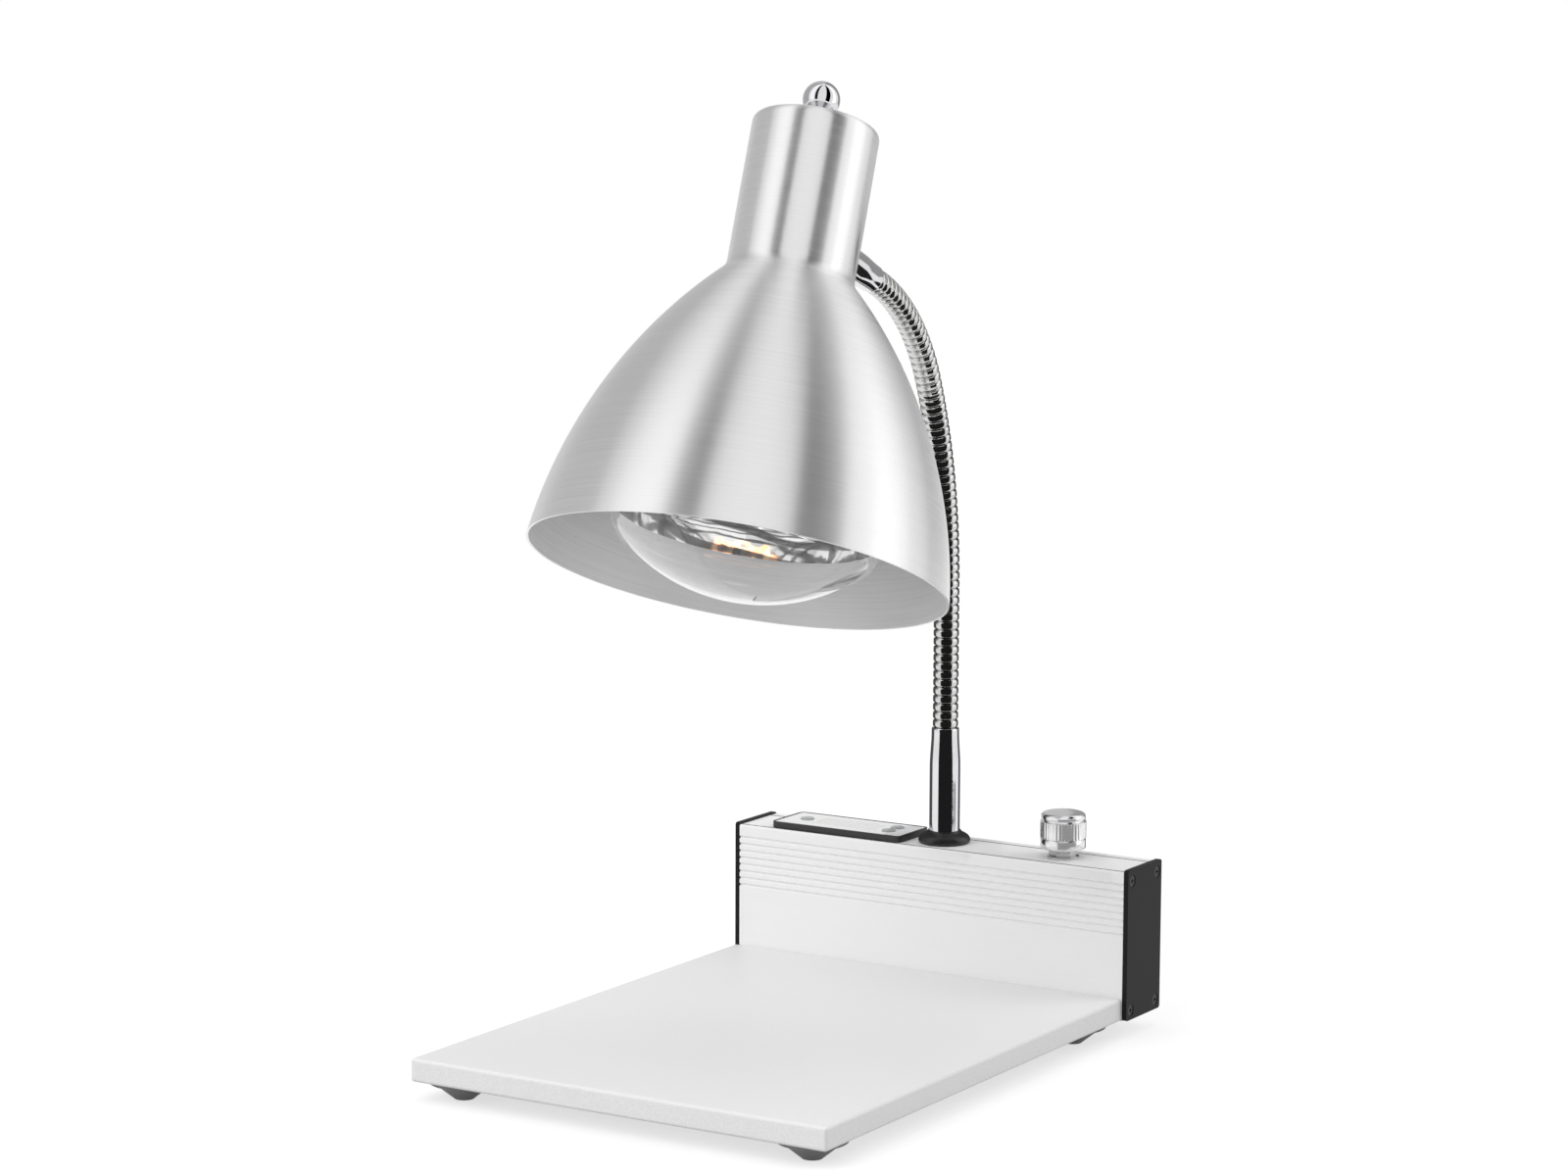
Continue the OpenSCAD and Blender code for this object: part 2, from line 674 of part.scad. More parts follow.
module potentiometer_washer() color([0.75, 0.75, 0.77]) at_knob(house_top) difference() {
  cylinder(r = pot_washer_r, h = pot_washer_t);
  translate([0, 0, -eps]) cylinder(r = pot_bush_r + fit, h = pot_washer_t + 2 * eps);
}

module potentiometer_nut() color([0.78, 0.78, 0.8])
  at_knob(house_top + pot_washer_t) rotate(18) hex_nut(pot_nut_af, pot_nut_t, pot_bush_r + fit);

module potentiometer_shaft() color([0.75, 0.75, 0.77])
  at_knob(house_top - top_plate_t - pot_body_h + 2.3)
    cylinder(r = shaft_r, h = shaft_top - house_top + top_plate_t + pot_body_h - 2.3);

module knob_profile() {
  // Half section of the knob, with a groove above and below the fluted band
  upper_z = knob_h - knob_upper_h;
  polygon([[0, 0], [knob_r - 0.7, 0], [knob_r - 0.2, 0.5], [knob_r - 0.2, knob_lower_h],
    [knob_r - 0.7, knob_lower_h + knob_groove / 2], [knob_r, knob_lower_h + knob_groove],
    [knob_r, upper_z - 1.2], [knob_r - 1, upper_z - 0.6], [knob_r - 0.4, upper_z],
    [knob_r - 0.4, knob_h - 3], [knob_crown_r, knob_h], [0, knob_h]]);
}

module dimmer_knob() color([0.85, 0.85, 0.87]) difference() {
  at_knob(knob_z) rotate_extrude() knob_profile();
  at_knob(knob_z - eps) cylinder(r = shaft_r, h = shaft_top - knob_z + eps);
  at_knob(knob_z - eps) cylinder(r = pot_bush_r + 0.6, h = 1);
  for (i = [0 : knob_flutes - 1]) at_knob(knob_z + knob_lower_h + knob_groove + 0.3)
    rotate(i * 360 / knob_flutes) translate([knob_r + 0.25, 0, 0])
      cylinder(r = 0.6, h = knob_h - knob_upper_h - knob_lower_h - knob_groove - 1.8, $fn = 16);
  at_knob(set_screw_z) rotate([0, 90, 180]) translate([0, 0, shaft_r])
    cylinder(r = set_screw_r, h = knob_r);
}

module knob_set_screw() color([0.3, 0.3, 0.32]) at_knob(set_screw_z) rotate([0, 90, 180])
  difference() {
    translate([0, 0, shaft_r]) cylinder(r = set_screw_r, h = 5);
    translate([0, 0, shaft_r + 3]) cylinder(r = 0.8, h = 3, $fn = 6);
  }

module dimmer_board() color([0.1, 0.4, 0.2])
  translate([-dimmer_pcb_l / 2, mid_y - dimmer_pcb_w / 2, pcb_z]) cube([dimmer_pcb_l, dimmer_pcb_w, pcb_t]);

module dimmer_choke() color([0.72, 0.42, 0.2]) translate([-36, mid_y, pcb_z + pcb_t + 11])
  rotate([90, 0, 0]) rotate_extrude() translate([7.5, 0]) circle(3.5);

module dimmer_capacitor() color([0.75, 0.7, 0.2])
  translate([-12, mid_y - 6, pcb_z + pcb_t]) cube([18, 8, 14]);

module triac_heatsink() color([0.5, 0.52, 0.55]) translate([18, mid_y - 8, pcb_z + pcb_t]) {
  cube([22, 2, 20]);
  for (x = [0, 5, 10, 15, 20]) translate([x, 2 - eps, 0]) cube([2, 8, 20]);
}

module terminal_block() color([0.2, 0.45, 0.3]) translate([block_x, mid_y - 8, pcb_z + pcb_t]) difference() {
  cube([10, 16, 10]);
  for (y = [3, 8, 13]) {
    translate([5, y, 4]) cylinder(r = 1.6, h = 7);
    translate([5, y, 3]) rotate([0, 90, 0]) cylinder(r = 1.2, h = 6);
  }
}

module gooseneck_collar() color([0.08, 0.08, 0.08]) at_gooseneck() rotate_extrude() difference() {
  union() {
    square([collar_r, 1.2]);
    translate([0, 1.2 - eps]) intersection() {
      square([collar_r, collar_h - 1.2 + eps]);
      translate([collar_r - 12, -6]) circle(13.2);
    }
  }
  translate([-eps, -1]) square([ferrule_r + fit + eps, collar_h + 2]);
}

module ferrule_profile(l) {
  // Half section of a ferrule of length l that thins towards its far end
  tip = 0.8;
  polygon([[0, 0], [ferrule_r, 0], [ferrule_r, l - ferrule_taper], [ferrule_tip_r, l - tip],
    [ferrule_tip_r - tip / 2, l], [0, l]]);
}

module foot_ferrule() color([0.75, 0.76, 0.78]) at_gooseneck() difference() {
  union() {
    rotate_extrude() ferrule_profile(ferrule_h);
    translate([0, 0, -top_plate_t - stud_l]) cylinder(r = stud_r, h = top_plate_t + stud_l + eps);
  }
  translate([0, 0, -top_plate_t - stud_l - eps]) cylinder(r = passage_r, h = ferrule_h + stud_l + 3);
  translate([0, 0, ferrule_h - sleeve_l]) cylinder(r = sleeve_r + fit, h = sleeve_l + eps);
}

module foot_ferrule_fixings() color([0.7, 0.7, 0.72]) at_gooseneck() {
  translate([0, 0, -top_plate_t - fixing_washer_t]) difference() {
    cylinder(r = fixing_washer_r, h = fixing_washer_t);
    translate([0, 0, -eps]) cylinder(r = stud_r + fit, h = fixing_washer_t + 2 * eps);
  }
  translate([0, 0, -top_plate_t - fixing_washer_t - fixing_nut_t])
    hex_nut(fixing_nut_af, fixing_nut_t, stud_r + fit);
}

function direction(a, b) = (b - a) / norm(b - a);

module tube(points, r, sides) {
  // A round lead swept along points that all lie in one plane across its side vector
  n = len(points);
  side = direction([0, 0, 0], cross(points[1] - points[0], points[n - 1] - points[1]));
  rings = [for (i = [0 : n - 1])
    let (t = direction(points[max(i - 1, 0)], points[min(i + 1, n - 1)]), up = cross(t, side))
      [for (k = [0 : sides - 1]) points[i] + r * (cos(k * 360 / sides) * side
        + sin(k * 360 / sides) * up)]];
  solid_of_rings(rings, sides);
}

module solid_of_rings(rings, sides) {
  // Closed solid through rings of the same number of points
  n = len(rings);
  polyhedron(points = [for (ring = rings) for (p = ring) p],
    faces = concat([[for (k = [0 : sides - 1]) k]],
      [[for (k = [sides - 1 : -1 : 0]) (n - 1) * sides + k]],
      [for (i = [0 : n - 2], k = [0 : sides - 1]) [i * sides + k, (i + 1) * sides + k,
        (i + 1) * sides + (k + 1) % sides]],
      [for (i = [0 : n - 2], k = [0 : sides - 1]) [i * sides + k,
        (i + 1) * sides + (k + 1) % sides, i * sides + (k + 1) % sides]]));
}

// Route of the mains lead in the housing, from the bushing to the terminal block: the share of
// the way covered along the housing, and across it
mains_from = [bushing_x, house_y + housing_d + bushing_flange_t, house_z + bushing_z];
mains_to = [block_x + 11.5, mid_y, pcb_z + pcb_t + 5];
mains_route = [for (p = [[0, 0], [0, 0.6], [0.06, 0.83], [0.17, 0.95], [0.3, 1], [1, 1]])
  [mains_from.x + (mains_to.x - mains_from.x) * p[0],
    mains_from.y + (mains_to.y - mains_from.y) * p[1],
    mains_from.z + (mains_to.z - mains_from.z) * p[0]]];

module mains_lead() color([0.12, 0.12, 0.12]) tube(mains_route, mains_r, lead_sides);

// Route of the lamp's lead from the terminal block into the foot ferrule
lead_low_route = [[block_x + 5, mid_y, pcb_z + pcb_t + 10.1], [block_x + 5, mid_y, pcb_z + 16],
  [block_x + 2, mid_y, pcb_z + 21.5], [38, mid_y, pcb_z + 26],
  [28, mid_y, pcb_z + 28], [17, mid_y, pcb_z + 29], [8, mid_y, pcb_z + 31.5],
  [2, mid_y, house_top - 18], [0, mid_y, house_top - 13], [0, mid_y, goose_base - 2]];

module lamp_lead_lower() color([0.15, 0.15, 0.15]) tube(lead_low_route, lead_r, lead_sides);

function rib_stations(u0, ribs) = concat([[u0 + joint_gap, 0.5]],
  [for (i = [0 : ribs - 1]) each [[u0 + (i + 0.5) * rib_pitch, 1],
    [u0 + (i + 1) * rib_pitch - (i == ribs - 1 ? joint_gap : 0), i == ribs - 1 ? 0.5 : 0]]]);

module ribbed_skin(u0, ribs) {
  // Outside of the tube over a number of ribs, two rings to a rib, with flat ends at the joints
  solid_of_rings([for (s = rib_stations(u0, ribs))
    [for (k = [0 : rib_sides - 1])
      around(s[0], valley_r + (rib_r - valley_r) * s[1], (k + 0.5) * 360 / rib_sides)]], rib_sides);
}

module passage(a, b) {
  // Straight bore between two points of the centre line, on through the ball at the second
  d = line_at(b) - line_at(a);
  translate(line_at(a)) rotate([atan2(-d.y, d.z), 0, 0])
    cylinder(r = passage_r, h = norm(d) + ball_r + 1);
}

module gooseneck_link(i) color([0.72, 0.73, 0.75]) difference() {
  union() {
    ribbed_skin(joint_u(i), link_ribs);
    translate(line_at(joint_u(i + 1))) sphere(ball_r);
  }
  translate(line_at(joint_u(i))) sphere(ball_r + ball_clearance);
  passage(joint_u(i), joint_u(i + 1));
}
module gooseneck_link_1() gooseneck_link(1);
module gooseneck_link_2() gooseneck_link(2);
module gooseneck_link_3() gooseneck_link(3);
module gooseneck_link_4() gooseneck_link(4);
module gooseneck_link_5() gooseneck_link(5);
module gooseneck_link_6() gooseneck_link(6);
module gooseneck_link_7() gooseneck_link(7);
module gooseneck_link_8() gooseneck_link(8);

module gooseneck_foot_end() color([0.72, 0.73, 0.75]) difference() {
  union() {
    ribbed_skin(-joint_gap, end_ribs);
    translate([0, mid_y, goose_base - sleeve_l + seat]) cylinder(r = sleeve_r, h = sleeve_l);
    translate(line_at(joint_u(1))) sphere(ball_r);
  }
  translate([0, mid_y, goose_base - sleeve_l]) cylinder(r = passage_r, h = sleeve_l + joint_u(1) + ball_r);
}

module gooseneck_head_end() color([0.72, 0.73, 0.75]) difference() {
  union() {
    ribbed_skin(joint_u(links + 1), end_ribs);
    at_head_ferrule() translate([0, 0, neck_r + head_ferrule_l - seat])
      rotate([180, 0, 0]) cylinder(r = sleeve_r, h = sleeve_l - seat);
    at_head_ferrule() translate([0, 0, neck_r + head_ferrule_l - 2])
      cylinder(r = valley_r - 0.5, h = 5);
  }
  translate(line_at(joint_u(links + 1))) sphere(ball_r + ball_clearance);
  at_head_ferrule() translate([0, 0, neck_r]) cylinder(r = passage_r, h = head_ferrule_l + end_ribs * rib_pitch);
}

module head_ferrule() color([0.75, 0.76, 0.78]) difference() {
  union() {
    difference() {
      at_head_ferrule() translate([0, 0, neck_r - 4]) rotate_extrude()
        ferrule_profile(head_ferrule_l + 4);
      in_head() cylinder(r = neck_r, h = neck_top, $fn = 180);
    }
    at_head_ferrule() translate([0, 0, neck_r - shade_t - 5]) cylinder(r = stud_r, h = 12);
  }
  at_head_ferrule() translate([0, 0, neck_r - 12]) cylinder(r = passage_r, h = head_ferrule_l + 14);
  at_head_ferrule() translate([0, 0, neck_r + head_ferrule_l - sleeve_l])
    cylinder(r = sleeve_r + fit, h = sleeve_l + 1);
}

module head_ferrule_nut() color([0.7, 0.7, 0.72]) difference() {
  at_head_ferrule() translate([0, 0, neck_r - shade_t - 4.2]) hex_nut(fixing_nut_af, 4.5, stud_r + fit);
  // Saddle that fits the inside of the neck
  in_head() difference() {
    cylinder(r = neck_r + 5, h = neck_top);
    translate([0, 0, -1]) cylinder(r = neck_r - shade_t, h = neck_top + 2, $fn = 180);
  }
}

function arc(c, r, a0, a1, n) =
  [for (i = [0 : n]) let (a = a0 + (a1 - a0) * i / n) c + r * [cos(a), sin(a)]];

// Half outline of the shade, drawn in by inset, from the mouth to the middle of the neck's top
function shade_outline(inset) =
  let (r = bell_curve_r - inset, neck = neck_r - inset, waist = waist_r + inset,
    crown = max(crown_r - inset, 0.5), top = neck_top - inset, c = [bell_cr, bell_cz],
    w = [neck + waist, bell_cz + sqrt(pow(r + waist, 2) - pow(neck + waist - bell_cr, 2))],
    meet = atan2(w.y - c.y, w.x - c.x))
  concat(arc(c, r, -asin(bell_cz / r), meet, 32), arc(w, waist, meet + 180, 180, 8),
    arc([neck - crown, top - crown], crown, 0, 90, 6), [[0, top]]);

function reversed(list) = [for (i = [len(list) - 1 : -1 : 0]) list[i]];

module shade() color([0.78, 0.78, 0.79]) difference() {
  in_head() rotate_extrude($fn = 180)
    polygon(concat(shade_outline(0), reversed(shade_outline(shade_t))));
  in_head() cylinder(r = holder_stud_r + fit, h = neck_top + 1);
  at_head_ferrule() cylinder(r = stud_r + fit, h = neck_r + 1);
}

module finial() color([0.85, 0.86, 0.88]) in_head() translate([0, 0, neck_top]) difference() {
  rotate_extrude() {
    polygon([[0, 0], [finial_base_r, 0], [finial_base_r, 0.8], [finial_r * 0.86, 4.5],
      [finial_r * 0.8, finial_h - finial_r - 3], [0, finial_h - finial_r]]);
    intersection() {
      translate([0, finial_h - finial_r]) circle(finial_r);
      square([finial_r, finial_h]);
    }
  }
  translate([0, 0, -eps]) cylinder(r = holder_stud_r + fit, h = 11);
}

module holder_stud() color([0.7, 0.7, 0.72]) in_head()
  translate([0, 0, holder_top]) cylinder(r = holder_stud_r, h = neck_top + 10 - holder_top);

module holder_lock_nut() color([0.7, 0.7, 0.72]) in_head()
  translate([0, 0, neck_top - shade_t - 4]) hex_nut(13, 4, holder_stud_r + fit);

module lampholder() color([0.93, 0.92, 0.88]) in_head() difference() {
  union() {
    translate([0, 0, holder_z]) cylinder(r = holder_r, h = holder_h - 10);
    translate([0, 0, holder_top - 10 - eps]) cylinder(r1 = holder_r, r2 = holder_r - 6, h = 10 + eps);
  }
  translate([0, 0, holder_z - eps]) cylinder(r = holder_bore_r, h = holder_bore_top - holder_z);
}

module lampholder_shell() color([0.8, 0.65, 0.35]) in_head() translate([0, 0, holder_z + 3])
  difference() {
    cylinder(r = shell_r, h = cap_h - 3);
    translate([0, 0, -eps]) cylinder(r = shell_r - shell_t, h = cap_h);
  }

module lampholder_contact() color([0.8, 0.65, 0.35]) in_head()
  translate([0, 0, cap_top + 3.2]) cylinder(r = 5, h = contact_t - eps);

// Half outline of the bulb's glass, drawn in by inset, from the front to the neck
function dome_points(inset) = [for (i = [0 : 12]) let (a = meet_angle * i / 12.5)
  [(dome_r - inset) * sin(a), bulb_front + dome_r - (dome_r - inset) * cos(a)]];
function edge_points(inset) = [for (i = [0 : 6]) let (a = (meet_angle - 90) * (1 - i / 6))
  [bulb_r - edge_r + (edge_r - inset) * cos(a), edge_z + (edge_r - inset) * sin(a)]];
function reflector_points(inset) = [for (i = [1 : 14])
  let (q = i / 14) [bulb_neck_r - inset + (bulb_r - bulb_neck_r) * (1 - pow(q, 1.9)) , edge_z
    + reflector_h * q]];
function glass_points(inset) = concat(dome_points(inset), edge_points(inset),
  reflector_points(inset));

module bulb_glass() color([0.9, 0.93, 0.95, 0.4]) in_head() rotate_extrude() difference() {
  polygon(concat(glass_points(0), [[bulb_neck_r, glass_top - 4], [cap_r - 0.8, glass_top],
    [cap_r - 0.8, glass_top + 2], [0, glass_top + 2]]));
  polygon(concat(glass_points(glass_t), [[bulb_neck_r - glass_t, glass_top - 4],
    [cap_r - 0.8 - glass_t, glass_top], [cap_r - 0.8 - glass_t, glass_top + 3], [0, glass_top + 3]]));
}

module bulb_reflector() color([0.85, 0.86, 0.88]) in_head() rotate_extrude() {
  polygon(concat(reflector_points(glass_t + 0.1),
    reversed(reflector_points(glass_t + 0.1 + coat_t))));
}

module bulb_cap() color([0.75, 0.75, 0.77]) in_head() translate([0, 0, glass_top + 0.3]) {
  rotate_extrude() difference() {
    polygon(concat([[0, 0], [cap_r, 0], [cap_r, 3]],
      [for (i = [0 : 8]) [cap_r - (i % 2 == 0 ? 0.9 : 0), 4 + i * 1.9]],
      [[cap_r - 3, cap_h - 3], [5, cap_h], [0, cap_h]]));
    // Seat of the glass neck
    translate([-1, -1]) square([cap_r + 0.3, 3]);
  }
  translate([0, 0, cap_h - eps]) cylinder(r = 4, h = 2.5);
}

stem_top = glass_top + 2;
filament_r = 17;
filament_z = edge_z + reflector_h * 0.375;

module bulb_stem() color([0.85, 0.87, 0.9]) in_head() {
  // Glass stem with its support wires
  translate([0, 0, filament_z + 10]) cylinder(r = 4, h = stem_top - filament_z - 10);
  for (a = [0 : 60 : 300]) rotate(a) translate([2, 0, filament_z + 12])
    rotate([0, 90 + atan2(11.5, filament_r - 2), 0]) cylinder(r = 0.5, h = norm([11.5, filament_r - 2]));
}

module bulb_filament() color([1, 0.6, 0.2]) in_head() translate([0, 0, filament_z - 1.3])
  rotate_extrude() translate([filament_r, 0]) circle(1.2, $fn = 24);

// Route of the lead in the shade's neck, in the plane of the ferrule: distance from the axis, height
lead_up_route = [[68, 0], [32, 0], [25.5, 0], [22.9, 0.8], [21.3, 3.2], [21, 7], [21, 23],
  [20.2, 30], [17.6, 35.5], [13.5, 38.4], [9.5, 37.6]];

module lamp_lead_upper() color([0.15, 0.15, 0.15]) in_head()
  tube([for (p = lead_up_route) [0, p[0], ferrule_z + p[1]]], lead_r, lead_sides);

base_board();
feet();
foot_screws();
housing_extrusion();
housing_top_plate();
end_plate_left();
end_plate_right();
end_plate_screws();
board_screws();
cord_bushing();
display_bezel();
display_faceplate();
display_screen();
display_board();
display_switches();
button_left();
button_up();
button_down();
potentiometer_body();
potentiometer_washer();
potentiometer_nut();
potentiometer_shaft();
dimmer_knob();
knob_set_screw();
dimmer_board();
dimmer_choke();
dimmer_capacitor();
triac_heatsink();
terminal_block();
mains_lead();
gooseneck_collar();
foot_ferrule();
foot_ferrule_fixings();
lamp_lead_lower();
gooseneck_foot_end();
gooseneck_link_1();
gooseneck_link_2();
gooseneck_link_3();
gooseneck_link_4();
gooseneck_link_5();
gooseneck_link_6();
gooseneck_link_7();
gooseneck_link_8();
gooseneck_head_end();
head_ferrule();
head_ferrule_nut();
shade();
finial();
holder_stud();
holder_lock_nut();
lampholder();
lampholder_shell();
lampholder_contact();
bulb_glass();
bulb_reflector();
bulb_cap();
bulb_stem();
bulb_filament();
lamp_lead_upper();
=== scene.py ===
"""Bench heat lamp in a plain pale studio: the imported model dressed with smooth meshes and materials.

Lengths are written in millimetres and turned into metres where a mesh is made. The part's frame
has its origin on the table under the middle of the footprint, +X right, +Y rear, +Z up.
"""
import math

import bpy
from mathutils import Matrix, Vector


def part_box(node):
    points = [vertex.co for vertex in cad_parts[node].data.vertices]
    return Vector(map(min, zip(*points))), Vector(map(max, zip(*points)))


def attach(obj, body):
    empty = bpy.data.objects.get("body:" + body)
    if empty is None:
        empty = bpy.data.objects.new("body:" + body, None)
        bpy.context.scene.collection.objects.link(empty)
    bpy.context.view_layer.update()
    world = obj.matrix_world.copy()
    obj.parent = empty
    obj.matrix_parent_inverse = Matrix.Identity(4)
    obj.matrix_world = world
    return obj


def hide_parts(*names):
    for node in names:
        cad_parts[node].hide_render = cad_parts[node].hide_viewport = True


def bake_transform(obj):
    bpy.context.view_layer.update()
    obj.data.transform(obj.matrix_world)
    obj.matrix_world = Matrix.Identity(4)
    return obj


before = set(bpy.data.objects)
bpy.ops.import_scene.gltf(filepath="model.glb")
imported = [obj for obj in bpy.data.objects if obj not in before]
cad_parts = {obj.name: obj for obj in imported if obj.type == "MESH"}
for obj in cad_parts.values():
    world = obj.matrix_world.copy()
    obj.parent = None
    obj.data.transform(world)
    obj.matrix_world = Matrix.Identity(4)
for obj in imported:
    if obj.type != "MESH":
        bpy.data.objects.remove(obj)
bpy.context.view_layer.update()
scene = bpy.context.scene
MM = 0.001

# ---------------------------------------------------------------- driving dimensions, as in the CAD
MID_Y = 136.75              # middle of the housing's depth
HOUSE_TOP = 82.0            # top of the housing
GOOSE_BASE = 140.0          # top of the foot ferrule
KNOB_X = 66.5
RIB_PITCH = 4.1
END_RIBS, LINK_RIBS, LINKS = 3, 7, 8
RIB_R, VALLEY_R = 6.3, 5.2
BEND1_R, BEND1_A, BEND2_R = 260.0, 23.0, 92.0
TOP_STRAIGHT = 5.4
HEAD_TILT, HEAD_LEAN, FERRULE_Z = 22.6, 2.5, 165.0
HEAD_FERRULE = 42.0
MOUTH_R, NECK_R, BELL_H, NECK_H = 96.5, 29.7, 140.0, 74.5
BELL_R, WAIST_R, CROWN_R, SHADE_T = 237.0, 8.0, 3.5, 1.0
BULB_FRONT, BULB_R, BULB_NECK_R = -12.0, 62.5, 19.0
EDGE_Z, DOME_R, REFLECTOR_H = 21.0, 88.0, 96.0


# ---------------------------------------------------------------- materials
def node_of(tree, kind, **inputs):
    """A new shader node, with its inputs set by name or linked to another node's socket."""
    node = tree.nodes.new(kind)
    for name, value in inputs.items():
        socket = node.inputs[name.replace("_", " ")]
        if isinstance(value, bpy.types.NodeSocket):
            tree.links.new(value, socket)
        else:
            socket.default_value = value
    return node


def ramp(tree, fac, low, high, start=0.35, end=0.65):
    """Colour between low and high as fac goes from start to end."""
    node = node_of(tree, "ShaderNodeValToRGB", Fac=fac)
    for stop, place, colour in zip(node.color_ramp.elements, (start, end), (low, high)):
        stop.position = place
        stop.color = (*colour, 1) if hasattr(colour, "__len__") else (colour,) * 3 + (1,)
    return node.outputs["Color"]


def material(name, colour, rough, metal=0.0, spread=0.04, grain=400, stretch=(1, 1, 1), bump=0.0,
             bump_size=None, rough_spread=0.05, **settings):
    """Principled material whose colour and roughness vary with a fine grain.

    spread is the share by which the colour varies, grain the noise scale per metre, stretch its
    scale along each axis of the piece, and bump the height of the grain's relief in millimetres.
    """
    mat = bpy.data.materials.new(name)
    mat.use_nodes = True
    tree = mat.node_tree
    shader = tree.nodes["Principled BSDF"]
    place = tree.nodes.new("ShaderNodeTexCoord").outputs["Object"]
    scaled = node_of(tree, "ShaderNodeMapping", Vector=place, Scale=stretch).outputs["Vector"]
    noise = node_of(tree, "ShaderNodeTexNoise", Vector=scaled, Scale=grain, Detail=4).outputs["Fac"]
    low = [channel * (1 - spread) for channel in colour]
    high = [min(1, channel * (1 + spread)) for channel in colour]
    tree.links.new(ramp(tree, noise, low, high), shader.inputs["Base Color"])
    tree.links.new(ramp(tree, noise, max(0.0, rough - rough_spread), min(1.0, rough + rough_spread)),
                   shader.inputs["Roughness"])
    shader.inputs["Metallic"].default_value = metal
    if bump:
        size = bump_size or grain
        relief = node_of(tree, "ShaderNodeTexNoise", Vector=scaled, Scale=size, Detail=3)
        raised = node_of(tree, "ShaderNodeBump", Strength=1.0, Distance=bump * MM,
                         Height=relief.outputs["Fac"])
        tree.links.new(raised.outputs["Normal"], shader.inputs["Normal"])
    for key, value in settings.items():
        shader.inputs[key.replace("_", " ")].default_value = value
    return mat


def glass(name, colour):
    """Clear glass with faint streaks in its surface."""
    return material(name, colour, 0.0, spread=0.01, grain=60, rough_spread=0.01,
                    Transmission_Weight=1.0, IOR=1.5)


def glowing(name, colour, strength):
    """A hot wire whose colour varies from turn to turn."""
    mat = material(name, (0.3, 0.25, 0.2), 0.5, metal=1.0, grain=900)
    tree = mat.node_tree
    shader = tree.nodes["Principled BSDF"]
    place = tree.nodes.new("ShaderNodeTexCoord").outputs["Object"]
    noise = node_of(tree, "ShaderNodeTexNoise", Vector=place, Scale=300).outputs["Fac"]
    tree.links.new(ramp(tree, noise, colour, (1.0, 0.72, 0.42)), shader.inputs["Emission Color"])
    shader.inputs["Emission Strength"].default_value = strength
    return mat


def spun(name, colour, rough, anisotropic):
    """Aluminium spun on a lathe: fine rings round the piece's Z axis that stretch its highlights."""
    mat = material(name, colour, rough, metal=1.0, spread=0.03, grain=1.0,
                   stretch=(14, 14, 1500), rough_spread=0.03, Anisotropic_Rotation=0.25)
    shader = mat.node_tree.nodes["Principled BSDF"]
    shader.inputs["Anisotropic"].default_value = anisotropic
    tangent = mat.node_tree.nodes.new("ShaderNodeTangent")
    tangent.direction_type = "RADIAL"
    tangent.axis = "Z"
    mat.node_tree.links.new(tangent.outputs["Tangent"], shader.inputs["Tangent"])
    return mat


def silvered(name):
    """Silvering inside the bulb: a mirror whose colour carries wavy dark bands, a painted reflection of
    dark surroundings.
    """
    mat = material(name, (0.9, 0.9, 0.91), 0.04, metal=1.0, rough_spread=0.02, bump=0.2, bump_size=38,
                   grain=90)
    tree = mat.node_tree
    place = tree.nodes.new("ShaderNodeTexCoord").outputs["Object"]
    wave = node_of(tree, "ShaderNodeTexWave", Vector=place, Scale=26, Distortion=9.0, Detail=1.0,
                   Detail_Scale=0.5)
    wave.bands_direction = "Z"
    # Painted reflection: wavy dark bands in the base colour stand in for dark surroundings seen in the
    # mirror
    painted_reflection_bands = ramp(tree, wave.outputs["Fac"], 0.12, 0.93, 0.12, 0.3)
    tree.links.new(painted_reflection_bands, tree.nodes["Principled BSDF"].inputs["Base Color"])
    return mat


def speckled(name, colour, rough):
    """Pale laminate with a fine darker and lighter speckle."""
    return material(name, colour, rough, spread=0.05, grain=1500, bump=0.01, bump_size=2400)


BOARD = speckled("board_laminate", (0.785, 0.785, 0.785), 0.45)
ANODISED = material("anodised_aluminium", (0.87, 0.87, 0.87), 0.5, metal=0.1, spread=0.006,
                    grain=1.0, stretch=(60, 1400, 1400), rough_spread=0.02)
END_PLATE = material("black_lacquer", (0.014, 0.014, 0.015), 0.42, spread=0.15, grain=1500, bump=0.008,
                     Specular_IOR_Level=0.08)
BLACK_STEEL = material("black_steel", (0.03, 0.03, 0.032), 0.35, metal=0.8, grain=900, bump=0.01)
ZINC = material("zinc_plate", (0.66, 0.66, 0.67), 0.32, metal=1.0, grain=700, bump=0.005)
RUBBER = material("grey_rubber", (0.16, 0.16, 0.165), 0.62, spread=0.12, grain=900, bump=0.02)
COLLAR = material("black_rubber", (0.018, 0.018, 0.019), 0.38, spread=0.2, grain=900, bump=0.01)
MOULDED = material("black_moulding", (0.02, 0.02, 0.022), 0.42, spread=0.2, grain=1400, bump=0.015)
FACE = material("silver_foil", (0.9, 0.9, 0.905), 0.35, metal=0.1, spread=0.02, grain=1600,
                Coat_Weight=0.3, Coat_Roughness=0.15)
SCREEN = material("display_glass", (0.9, 0.9, 0.89), 0.12, spread=0.03, grain=500,
                  Coat_Weight=1.0, Coat_Roughness=0.03)
BUTTON = material("grey_button", (0.4, 0.405, 0.415), 0.35, spread=0.06, grain=900, bump=0.01)
BOARD_GREEN = material("circuit_green", (0.02, 0.16, 0.07), 0.35, spread=0.2, grain=300)
COMPONENT = material("black_component", (0.03, 0.03, 0.03), 0.5, grain=900, bump=0.01)
COPPER = material("copper_winding", (0.65, 0.28, 0.12), 0.3, metal=1.0, grain=1.0,
                  stretch=(1500, 1500, 200), bump=0.1)
YELLOW = material("capacitor_yellow", (0.6, 0.5, 0.05), 0.35, grain=600)
